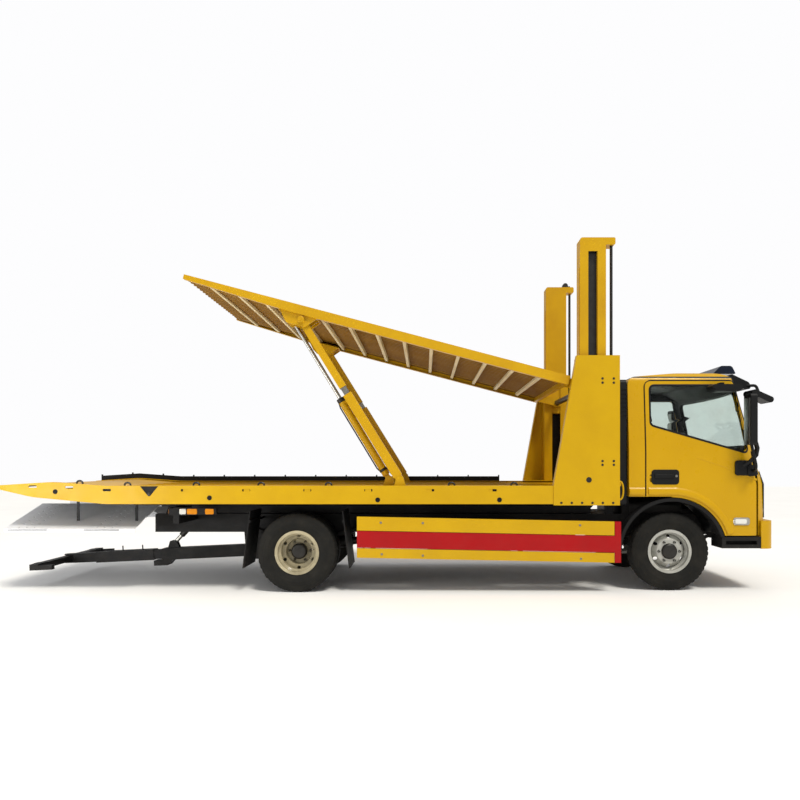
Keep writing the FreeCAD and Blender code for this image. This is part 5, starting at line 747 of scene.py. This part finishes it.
lockEye = [(0.0, 0.0005), (0.019, 0.0005), (0.021, 0.003), (0.027, 0.003), (0.028, -0.001), (0.0, -0.001)]
pivotBolt = [(0, -0.006), (0.020, -0.006), (0.020, 0.001), (0.014, 0.0035), (0, 0.0035)]
grommets = {"radius": 0.024, "places": [(-3.362, 1.030), (-1.813, 0.968), (-0.123, 0.948), (1.10, 0.948)]}
lashing = {"xs": [-3.131, -2.648, -1.954, -1.30, -0.62, 0.62, 1.25], "inset": 0.030, "wide": 0.030,
           "high": 0.024, "thick": 0.0095, "hump": 0.038, "humpReach": 0.54, "leg": 0.006, "sunk": 0.002}
slots = {"xs": [-3.590, -3.223, -2.844, -2.061, -1.445, -0.830, -0.217, 0.404, 1.032], "below": 0.046,
         "long": 0.088, "high": 0.030, "y": 1.1195, "thick": 0.004, "hump": 0.055, "humpX": -3.24,
         "lead": 0.041}
for sideName, side in sides.items():
    onShroud = [(x, side * fixings["shroudY"], z) for x, z in fixings["shroudBolts"] + fixings["skirtBolts"]]
    makePiece("shroud_bolts_" + sideName, copies(boltHead(side), onShroud), "bed", darkSteel)
    onPanel = [(x, side * fixings["panelY"], z) for x, z in fixings["panelBolts"]]
    makePiece("panel_bolts_" + sideName, copies(boltHead(side), onPanel), "chassis", zincSteel)
    eyeX, eyeZ = fixings["eye"]
    makePiece("shroud_lock_eye_" + sideName,
              turned(lockEye, (eyeX, side * fixings["shroudY"], eyeZ), (0, side, 0), 32),
              "bed", darkSteel)
    holes = [(x, side * bedShape["halfWidth"], z) for x, z in grommets["places"]]
    makePiece("bed_side_grommets_" + sideName,
              together(*[grommet(p, side, grommets["radius"]) for p in holes]),
              "bed", sealRubber)
    staples, slotShadePlates = [], []
    for x in lashing["xs"]:
        rise = lashing["hump"] * min(max(0, bedShape["taperX"] - x) / lashing["humpReach"], 1)
        staples.append(lashingStaple(x, side * (bedShape["halfWidth"] - lashing["inset"]),
                                     bedShape["top"] + rise))
    makePiece("lashing_staples_" + sideName, together(*staples), "bed", darkSteel)
    # a dark plate set back in each slot: painted shade inside the hollow rail
    for x in slots["xs"]:
        share = max(0, bedShape["taperX"] - x + slots["lead"]) / (bedShape["taperX"] - slots["humpX"])
        z = bedShape["top"] + slots["hump"] * min(share, 1) - slots["below"]
        slotShadePlates.append(roundedBar((x, side * (slots["y"] - slots["thick"]), z), (x, side * slots["y"], z),
                               slots["long"], slots["high"], slots["thick"], 0.001))
    makePiece("lashing_slot_shade_plates_" + sideName, together(*slotShadePlates), "bed", sealRubber)
notchBolt = together(*[turned(pivotBolt, (bedShape["notchX"], side * fixings["notchY"], fixings["notchZ"]),
                              (0, side, 0), 20) for side in sides.values()])
makePiece("notch_pivot_bolts", notchBolt, "bed", darkSteel)

floorJoints = {"xs": [-2.30, -1.08, 0.14, 1.36], "half": 1.055, "z": 1.0708,
               "section": (0.030, 0.0028, 0.0012, 0.001)}
strips = together(*[roundedBar((x, -floorJoints["half"], floorJoints["z"]),
                               (x, floorJoints["half"], floorJoints["z"]),
                               *floorJoints["section"]) for x in floorJoints["xs"]])
makePiece("floor_plate_joint_strips", strips, "bed", liftYellow)

hook = {"y": -1.085, "x": 2.326, "z": 1.040, "wide": 0.030, "high": 0.090, "turn": (118, -128),
        "thick": 0.0095, "bracket": ((2.300, -1.085, 1.100), (2.330, -1.085, 1.100)),
        "bracketSection": (0.03, 0.03, 0.003)}
turn = np.radians(np.linspace(*hook["turn"], 30))  # a C: x + wide * cos(t), z + high * sin(t)
bend = np.stack([hook["x"] + hook["wide"] * np.cos(turn), np.full(30, hook["y"]),
                 hook["z"] + hook["high"] * np.sin(turn)], -1)
makePiece("hook_behind_shroud", carried(circleSection(hook["thick"], 14), bend, up=(0, 1, 0)), "bed",
          bodyYellow)
makePiece("hook_bracket", roundedBar(*hook["bracket"], *hook["bracketSection"]), "bed",
          bodyYellow)

deck = {"pinX": 2.050, "pinZ": 2.097, "slope": math.radians(14.74), "innerY": 1.0465, "barY": 0.9975,
        "barUp": (-0.0285, 0.0092), "barFrom": 0.30, "sheetUp": (0.0088, 0.033),
        "strutPin": (3.035, 1.046, -0.095),
        "pinHead": [(0, 0), (0.030, 0), (0.034, 0.004), (0.034, 0.012), (0.026, 0.016), (0.012, 0.016),
                    (0.010, 0.020), (0, 0.020)]}


def deckPoint(along, y, up):
    # a point of the level deck, turned up about the shaft:
    # along backwards from the pin, up above its middle line
    c, s = math.cos(deck["slope"]), math.sin(deck["slope"])
    return (deck["pinX"] - along * c + up * s, y, deck["pinZ"] + along * s + up * c)


def deckFaces(centres, normals):
    # 0 rails and top, 1 the underside, darkened with painted shade, 2 the crossbars, pale with a painted
    # highlight
    c, s = math.cos(deck["slope"]), math.sin(deck["slope"])
    dx, dz, y = centres[:, 0] - deck["pinX"], centres[:, 2] - deck["pinZ"], np.abs(centres[:, 1])
    along, up, facing = -dx * c + dz * s, dx * s + dz * c, normals[:, 0] * s + normals[:, 2] * c
    bars = (up > deck["barUp"][0]) & (up < deck["barUp"][1]) & (along > deck["barFrom"]) & (y < deck["barY"])
    under = (y < deck["innerY"]) & (up > deck["sheetUp"][0]) & (up < deck["sheetUp"][1]) & (facing < -0.2)
    return np.where(bars, 2, np.where(under, 1, 0))


strut = {"foot": (0.095, 1.150), "top": (-0.909, 2.777), "sleeve": 0.800, "gap": 0.002}


def strutFaces(centres, normals):
    # 1 where the bar is bare, between the tube and the sleeve at its top
    foot, top = np.array(strut["foot"]), np.array(strut["top"])
    t = (centres[:, [0, 2]] - foot) @ unit(top - foot)
    return t < np.linalg.norm(top - foot) - strut["sleeve"] - strut["gap"]


ram = {"foot": (-0.023, 1.150), "top": (-1.030, 2.809), "y": 0.840, "pipeOff": 0.047, "pipeRadius": 0.007,
       "collars": [(0.940, 0.0445, 0.047), (0.10, 0.0435, 0.030)],
       "pipe": [(0.8, 0.12), (1.05, 0.16), (1.05, 0.90), (0.8, 0.945)]}  # the pipe's (off, along) places


def collar(start, axis, at, r, length):
    # a short turned collar round a strut or ram, its axis along it
    profile = [(r * 0.86, 0), (r, 0.003), (r, length - 0.003), (r * 0.86, length), (r * 0.5, length),
               (r * 0.5, 0)]
    return turned(profile, start + at * axis, axis, 32)


dressNode("upper_deck", "upper_deck_frame_and_floor", [liftYellow, paintedShadeDeckUnderside, paintedHighlightCrossbars],
          deckFaces)
dressNode("deck_arms", "deck_hinge_arms", [liftYellow])
for sideName, side in sides.items():
    along, y, up = deck["strutPin"]
    makePiece("strut_top_pin_head_" + sideName,
              turned(deck["pinHead"], deckPoint(along, side * y, up), (0, side, 0), 28),
              "upper_deck", liftYellow)
    dressNode("strut_tube_" + sideName, "strut_lower_tube_" + sideName, [liftYellow])
    dressNode("strut_bar_" + sideName, "strut_upper_bar_" + sideName, [liftYellow, zincSteel],
              strutFaces)
    dressNode("cylinder_" + sideName, "deck_ram_barrel_" + sideName, [liftYellow])
    dressNode("piston_rod_" + sideName, "deck_ram_rod_" + sideName, [chromedSteel])
    start, top = [np.array([x, side * ram["y"], z]) for x, z in (ram["foot"], ram["top"])]
    axis = unit(top - start)
    off = np.cross(axis, (0, 1, 0)) * ram["pipeOff"]
    glands = together(*[collar(start, axis, *sizes) for sizes in ram["collars"]])
    makePiece("deck_ram_glands_" + sideName, glands, "cylinder_" + sideName, darkSteel)
    line = np.array([start + off * out + axis * at for out, at in ram["pipe"]])
    makePiece("deck_ram_oil_pipe_" + sideName,
              carried(circleSection(ram["pipeRadius"], 12), line, up=(0, 1, 0)),
              "cylinder_" + sideName, darkSteel)
print("bed, towers and deck")

plainNodes = {frameBlack: ["leaf_springs", "front_axle", "rear_axle", "subframe", "lift_nose", "lift_crossbar",
                           "lift_boom"],
              darkSteel: ["knuckle_left", "knuckle_right", "driveline", "lift_cylinder"]}
dressNode("chassis_frame", "chassis_frame_and_brackets", [frameBlack])
dressNode("cab_mounts", "cab_mount_blocks", [frameBlack])
for material, nodes in plainNodes.items():
    for node in nodes:
        dressNode(node, node + "_dressed", [material])
dressNode("side_stripes", "side_stripes_dressed", [stripeRed])
dressNode("mudguards", "mudguards_dressed", [mudRubber])
dressNode("tank_and_battery", "tank_and_battery_dressed", [zincSteel])
dressNode("lift_piston", "lift_piston_dressed", [chromedSteel])

ramp = {"innerY": 0.310, "innerZ": 0.868, "slope": 0.2962, "outerY": 1.070, "straps": (-3.277, -2.667),
        "strapHalf": 0.0135, "strapUp": 0.003, "below": 0.011, "inset": 0.012, "thick": 0.002,
        "corner": 0.0008,
        "hole_shade_sheet": {"tail": (-3.685, 0.40), "front": (-2.935, 0.36)}}


def rampTop(y):
    # the sheet falls in a straight line outwards: inner height - slope * (y - inner y)
    return ramp["innerZ"] - ramp["slope"] * (np.abs(y) - ramp["innerY"])


def rampFaces(centres, normals):
    # 1 on the straps that hang the sheet, above the sheet itself
    away = np.min([np.abs(centres[:, 0] - x) for x in ramp["straps"]], axis=0)
    return (centres[:, 2] > rampTop(centres[:, 1]) + ramp["strapUp"]) & (away < ramp["strapHalf"])


dressNode("ramps", "ramps_perforated_sheets", [paintedLightRampSheet, frameBlack], rampFaces)
# a dark sheet just under each group of holes: painted shade seen through the holes
for sideName, side in sides.items():
    for part, (x, wide) in ramp["hole_shade_sheet"].items():
        ys = np.linspace(ramp["innerY"] + ramp["inset"], ramp["outerY"] - ramp["inset"], 4)
        path = np.column_stack([np.full(4, x), side * ys, rampTop(ys) - ramp["below"]])
        makePiece("ramp_backing_%s_%s" % (part, sideName),
                  carried(roundedSection(wide, ramp["thick"], ramp["corner"]), path),
                  "bed", sealRubber)

panelCapX = 2.2685  # ahead of it the side panel ends in its red cap
dressNode("side_panels", "side_panel_skins", [bodyYellow, stripeRed],
          lambda c, n: c[:, 0] > panelCapX)


def facePlate(x0, x1, z0, z1, corner, y, deep, side):
    # a rounded rectangle in a plane beside the truck that stands out from y by its depth
    middle = ((x0 + x1) / 2, (z0 + z1) / 2)
    outer = roundedSection(x1 - x0, z1 - z0, corner, 6) + middle
    inner = roundedSection(x1 - x0 - deep * 0.8, z1 - z0 - deep * 0.8, corner - deep * 0.3, 6) + middle
    rings = [(outer, y - 0.004), (outer, y + deep * 0.55), (inner, y + deep)]
    return raisedRings([(flat, side * out) for flat, out in rings])


tailLamps = {"faceX": -2.2545, "sideZ": (0.797, 0.853), "sideY": 1.040, "corner": 0.012, "deep": 0.007,
             "backX": (-2.2535, -2.2615), "backZ": 0.825, "backHigh": 0.062, "backEdge": (0.010, 0.003),
             "side": {"white": (-2.146, -2.078, lampWhite), "turn": (-2.068, -1.966, lampAmber),
                      "marker": (-1.884, -1.796, lampAmber)},
             "back": {"stop": (0.66, 0.84, lampRed), "reverse": (0.85, 0.92, lampWhite),
                      "turn": (0.93, 1.03, lampAmber)}}
dressNode("tail_lamps", "tail_lamps_lenses", [frameBlack, lampRed],
          lambda c, n: c[:, 0] < tailLamps["faceX"])
for sideName, side in sides.items():
    for lampName, (x0, x1, lens) in tailLamps["side"].items():
        plate = facePlate(x0, x1, *tailLamps["sideZ"], tailLamps["corner"], tailLamps["sideY"],
                          tailLamps["deep"], side)
        makePiece("side_lamp_%s_%s" % (lampName, sideName), plate, "chassis", lens)
    for lampName, (inner, outer, lens) in tailLamps["back"].items():
        ends = [(x, side * (inner + outer) / 2, tailLamps["backZ"]) for x in tailLamps["backX"]]
        makePiece("tail_lamp_%s_%s" % (lampName, sideName),
                  roundedBar(*ends, outer - inner, tailLamps["backHigh"], *tailLamps["backEdge"]),
                  "chassis", lens)
print("chassis")

inCab = {"x": (2.47, 3.80), "y": 0.925, "z": (0.99, 2.215), "underY": 0.90, "bumperX": 3.79, "barX": 3.70,
         "barZ": 2.27}


def cabFaces(centres, normals):
    # 0 enamel, 1 trim inside the cab and round the openings
    x, y, z = centres[:, 0], np.abs(centres[:, 1]), centres[:, 2]
    (x0, x1), (z0, z1) = inCab["x"], inCab["z"]
    inside = (y < inCab["y"]) & (x > x0) & (x < x1) & (z > z0) & (z < z1)
    under = (z < z0) & (y < inCab["underY"]) & (normals[:, 2] < 0.5) & (x < x1)
    return np.where(inside | under, 1, 0)


dressNode("windscreen", "windscreen_pane", [cabGlass])
dressNode("arch_liners", "arch_liners_and_steps", [mudRubber])
dressNode("bumper", "bumper_and_brackets", [cabYellow, frameBlack],
          lambda c, n: c[:, 0] < inCab["bumperX"])
dressNode("grille", "grille_louvres", [blackAbs])
dressNode("headlamps", "headlamp_housings", [blackAbs])
dressNode("roof_fittings", "roof_visor_and_light_bar", [blackAbs, barNavy],
          lambda c, n: (c[:, 0] < inCab["barX"]) & (c[:, 2] > inCab["barZ"]))
dressNode("air_intake", "air_intake_stack", [blackAbs])
dressNode("steering_wheel", "steering_wheel_rim", [dashGrey])
cabShell = dressNode("cab_shell", "cab_shell_skin", [cabYellow, blackAbs], cabFaces)

doorTrim = {"seal": [(2.6125, 0.98, 0), (2.6125, 2.1685, 0.07), (3.5385, 2.1685, 0.07), (3.767, 1.400, 0.5),
                     (3.767, 0.60, 0)],
            "window": [(2.672, 1.712, 0.048), (3.672, 1.418, 0.048), (3.545, 2.115, 0.048),
                       (2.672, 2.115, 0.048)],
            "crease": [(3.135, 1.375, 0), (3.50, 1.255, 0.6), (3.755, 1.145, 0)],
            "arch": (2.885, 0.4025), "flareRadius": 0.628, "flareWide": 0.072, "flareTop": 1.030,
            "flareOut": 0.014, "cabFlareXs": (2.600, 2.55, 2.50, 2.444)}
sealProfile = [(-0.0045, -0.002), (-0.0045, 0.0012), (-0.003, 0.002), (0.003, 0.002), (0.0045, 0.0012),
               (0.0045, -0.002)]
frameProfile = [(0.004, -0.010), (0.004, 0.002), (0.000, 0.0045), (-0.012, 0.0045), (-0.016, 0.002),
                (-0.016, -0.002)]
creaseProfile = [(-0.011, -0.001), (-0.010, 0.0004), (-0.002, 0.0030), (0.002, 0.0030), (0.010, 0.0004),
                 (0.011, -0.001)]


def flareProfile(wide, out):
    # a rolled flange: a soft rise on the outside, a flat crown and a square inner edge
    return [(wide / 2, -0.003), (wide / 2, out * 0.8), (wide / 2 - 0.006, out), (-wide * 0.15, out),
            (-wide * 0.38, out * 0.45), (-wide / 2, 0.0006), (-wide / 2, -0.003)]


def archLine(first, last, radius):
    # an arc round the axle between two angles in degrees from straight ahead
    turn = np.radians(np.linspace(first, last, 25))
    return np.stack([doorTrim["arch"][0] + radius * np.cos(turn),
                     doorTrim["arch"][1] + radius * np.sin(turn)], -1)


arch = archLine(18, 84, doorTrim["flareRadius"])
back = [(x, doorTrim["flareTop"]) for x in 2.94 - 0.03 * np.arange(11) if x < arch[-1, 0] - 0.01]
flare = flareProfile(doorTrim["flareWide"], doorTrim["flareOut"])
doorRibbons = {"door_seal_": (roundedLine(doorTrim["seal"], False), sealProfile, False, sealRubber,
                              "black_plastic"),
               "door_window_seal_": (roundedLine(doorTrim["window"]), frameProfile, True, sealRubber,
                                     "black_plastic"),
               "door_arch_flare_": (np.concatenate([arch, back]), flare, False, cabYellow, "yellow_body"),
               "door_body_crease_": (roundedLine(doorTrim["crease"], False), creaseProfile, False, cabYellow,
                                     "yellow_body")}
handle = {"bezel": (2.669, 2.952, 1.098, 1.251, 0.034, 0.9975, 0.006),
          "grip": (2.698, 2.900, 1.164, 1.206, 0.012, 1.0030, 0.013),
          "lockX": 2.922, "lockY": 1.0045, "lockZ": 1.185,
          "lock": [(0.0, 0.004), (0.012, 0.004), (0.014, 0.001), (0.014, -0.002), (0.0, -0.002)]}
marker = {"bezel": (3.506, 3.674, 0.682, 0.760, 0.024, 0.9975, 0.010),
          "lens": (3.520, 3.640, 0.697, 0.745, 0.016, 1.0060, 0.007)}
mirror = {"foot": (3.520, 3.690, 1.190, 1.345, 0.030, 0.9970, 0.030), "arm": (0.038, 0.050, 0.014),
          "bend": [(3.600, 1.010, 1.290), (3.655, 1.050, 1.335), (3.700, 1.085, 1.400), (3.700, 1.105, 1.470),
                   (3.672, 1.120, 1.540)],
          "glassX": 3.588, "glassY": 1.125, "glassZ": (1.50, 1.97), "glassSection": (0.13, 0.003, 0.001)}
for sideName, side in sides.items():
    door = dressNode("door_" + sideName, "door_skin_" + sideName, [cabYellow, blackAbs],
                     lambda c, n: (np.sign(n[:, 1]) != np.sign(c[:, 1])) & (np.abs(n[:, 1]) > 0.3))
    dressNode("door_glass_" + sideName, "door_pane_" + sideName, [cabGlass])
    dressNode("mirror_" + sideName, "mirror_housing_" + sideName, [blackAbs])
    doorSkin, shellSkin, body = skinOf(door), skinOf(cabShell), "door_" + sideName
    for ribbon, (line, profile, closed, material, slot) in doorRibbons.items():
        makePiece(ribbon + sideName, skinRibbon(doorSkin, line, profile, side, closed), body, material)
    shellLine = np.array([(x, doorTrim["flareTop"]) for x in doorTrim["cabFlareXs"]])
    makePiece("cab_corner_flare_" + sideName, skinRibbon(shellSkin, shellLine, flare, side, False), "chassis",
              cabYellow)
    plates = together(facePlate(*handle["bezel"], side), facePlate(*handle["grip"], side))
    makePiece("door_handle_bezel_" + sideName, plates, body, blackAbs)
    lock = turned(handle["lock"], (handle["lockX"], side * handle["lockY"], handle["lockZ"]), (0, side, 0), 24)
    makePiece("door_lock_barrel_" + sideName, lock, body, zincSteel)
    makePiece("door_marker_lamp_bezel_" + sideName, facePlate(*marker["bezel"], side), body, chromedSteel)
    makePiece("door_marker_lamp_lens_" + sideName, facePlate(*marker["lens"], side), body, lampWhite)
    arm = carried(roundedSection(*mirror["arm"], 6), np.array(mirror["bend"]) * (1, side, 1),
                  up=(0, side, 0.2))
    makePiece("mirror_foot_and_arm_" + sideName, together(facePlate(*mirror["foot"], side), arm), body,
              blackAbs)
    ends = [(mirror["glassX"], side * mirror["glassY"], z) for z in mirror["glassZ"]]
    makePiece("mirror_glass_" + sideName,
              roundedBar(*ends, *mirror["glassSection"], up=(1, 0, 0)), body, chromedSteel)

seat = {"y": 0.470, "dashX": 3.3, "cushion": ((2.885, 1.205), (0.238, 0.236, 0.085), 0.0, (-0.45, 0.45)),
        "back": ((2.668, 1.56), (0.066, 0.236, 0.36), -0.12, ()), "boxX": 2.885, "boxZ": (0.992, 1.125),
        "box": (0.42, 0.38, 0.03, 0.004), "fill": 0.8, "flat": 0.34, "upright": 0.42, "crown": 0.10,
        "edgeHigh": 0.90,
        "pinch": 0.035, "channelDeep": 0.16, "channelWide": 0.07}


def power(value, exponent):
    # a power that keeps the sign, which makes a superellipse out of a sine or cosine
    return np.sign(value) * np.abs(value) ** exponent


def paddedBlock(centre, size, lean, channels):
    # a crowned closed form: each side is a superellipse, sides pulled in between corners,
    # and the crown sinks along the sewn channels by depth * exp(-(distance / width)^2)
    u = np.linspace(-math.pi / 2, math.pi / 2, 33)[:, None]
    v = np.linspace(-math.pi, math.pi, 97)[None, :-1]
    px = power(np.cos(u), seat["flat"]) * power(np.cos(v), seat["flat"])
    py = power(np.cos(u), seat["flat"]) * power(np.sin(v), seat["flat"])
    pz = power(np.sin(u), seat["upright"]) + 0 * v
    crown = seat["crown"] * (1 - px ** 2) * (1 - py ** 2)
    sink = sum(seat["channelDeep"] * np.exp(-((py - c) / seat["channelWide"]) ** 2) for c in channels)
    pz = pz * (seat["edgeHigh"] + crown - sink * (np.abs(pz) > 0.5))
    pinch = 1 - seat["pinch"] * (1 - pz ** 2)
    x, y, z = px * size[0] * pinch, py * size[1] * pinch, pz * size[2]
    c, s = math.cos(lean), math.sin(lean)
    points = np.stack([x * c + z * s, y, -x * s + z * c], -1) + centre
    return points.reshape(-1, 3), gridFaces(33, 96, False, True)


dashCopy = dressNode("cab_interior", "dash_board", [dashGrey])
shape = bmesh.new()
shape.from_mesh(dashCopy.data)
bmesh.ops.delete(shape, geom=[v for v in shape.verts if v.co.x < seat["dashX"]], context="VERTS")
shape.to_mesh(dashCopy.data)
shape.free()
for sideName, side in sides.items():
    y = side * seat["y"]
    for part in ("cushion", "back"):
        (x, z), *form = seat[part]
        pad = makePiece("seat_%s_%s" % (part, sideName), paddedBlock((x, y, z), *form), "chassis", seatCloth,
                        60)
    box = roundedBar(*[(seat["boxX"], y, z) for z in seat["boxZ"]], *seat["box"], up=(0, 1, 0))
    makePiece("seat_box_" + sideName, box, "chassis", blackAbs)

screen = {"tree": skinOf(bpy.data.objects["windscreen_pane"], cabShell), "from": 4.4, "middleZ": 1.70,
          "corners": [(-0.851, 1.352, 0.07), (0.851, 1.352, 0.07), (0.766, 2.053, 0.07),
                      (-0.766, 2.053, 0.07)],
          "rubber": [(-0.008, -0.004), (-0.008, 0.003), (0.0, 0.005), (0.010, 0.004), (0.016, 0.001),
                     (0.016, -0.004)]}


def onScreen(y, z, out):
    # the point of the windscreen or nose at y, z, seen from ahead, standing out by a little
    hit = screen["tree"].ray_cast((screen["from"], y, z), (-1, 0, 0))[0]
    return (hit[0] + out, y, z)


def screenLine(start, end, out, section, steps=14):
    # a bar carried over the windscreen between two (y, z) points
    shares = np.append(np.linspace(0, 1, steps, endpoint=False), 1.0)
    path = [onScreen(start[0] + (end[0] - start[0]) * t, start[1] + (end[1] - start[1]) * t,
                     out) for t in shares]
    return carried(section, np.array(path), up=(1, 0, 0.4))


wiper = {"ys": (-0.70, 0.05), "z": 1.315,
         "pivot": [(0, -0.01), (0.022, -0.01), (0.022, 0.014), (0.014, 0.022), (0, 0.022)],
         "armEnd": (0.42, 1.375), "armOut": 0.024, "armSection": (0.016, 0.008, 0.003),
         "blade": ((0.16, 1.362), (0.74, 1.408)), "bladeOut": 0.012, "bladeSection": (0.008, 0.016, 0.002)}
wipers = []
for y0 in wiper["ys"]:
    (fromY, fromZ), (toY, toZ) = wiper["blade"]
    wipers += [turned(wiper["pivot"], onScreen(y0, wiper["z"], 0.0), (1, 0, 0.35), 20),
               screenLine((y0, wiper["z"]), (y0 + wiper["armEnd"][0], wiper["armEnd"][1]), wiper["armOut"],
                          roundedSection(*wiper["armSection"])),
               screenLine((y0 + fromY, fromZ), (y0 + toY, toZ), wiper["bladeOut"],
                          roundedSection(*wiper["bladeSection"]), 20)]
makePiece("windscreen_wipers", together(*wipers), "chassis", blackAbs)

surround = roundedLine(screen["corners"])
outward = unit(surround - (0.0, screen["middleZ"]))
sealRings = np.array([[onScreen(*(here + shift * away), out) for shift, out in screen["rubber"]]
                      for here, away in zip(surround, outward)])
makePiece("windscreen_seal",
          (sealRings.reshape(-1, 3), gridFaces(len(surround), len(screen["rubber"]), True, True)),
          "chassis", sealRubber)

headlamp = {"y": (0.70, 0.885), "zs": ((0.79, 0.965), (0.985, 1.19)), "corner": 0.025,
            "rings": ((1.0, -0.004), (1.0, 0.003), (0.9, 0.006)), "fog": (3.962, 0.62, 0.565),
            "fogProfile": [(0, 0.006), (0.034, 0.006), (0.040, 0.002), (0.046, 0.006), (0.050, 0.002),
                           (0.050, -0.004), (0, -0.004)]}
for sideName, side in sides.items():
    lenses, (y0, y1) = [], headlamp["y"]
    for z0, z1 in headlamp["zs"]:
        corners = np.array([(y0, z0), (y1, z0), (y1, z1), (y0, z1)]) * (side, 1)
        centre = corners.mean(0)
        loop = roundedLine([(*corner, headlamp["corner"]) for corner in corners], True, 0.03)
        lenses.append(tubeOf(np.array([[onScreen(*(centre + (point - centre) * size), out) for point in loop]
                                       for size, out in headlamp["rings"]])))
    makePiece("headlamp_lenses_" + sideName, together(*lenses), "chassis", lampWhite)
    fog = turned(headlamp["fogProfile"], np.array(headlamp["fog"]) * (1, side, 1), (1, 0, 0), 32)
    makePiece("bumper_fog_lamp_" + sideName, fog, "chassis", lampWhite)
print("cab")
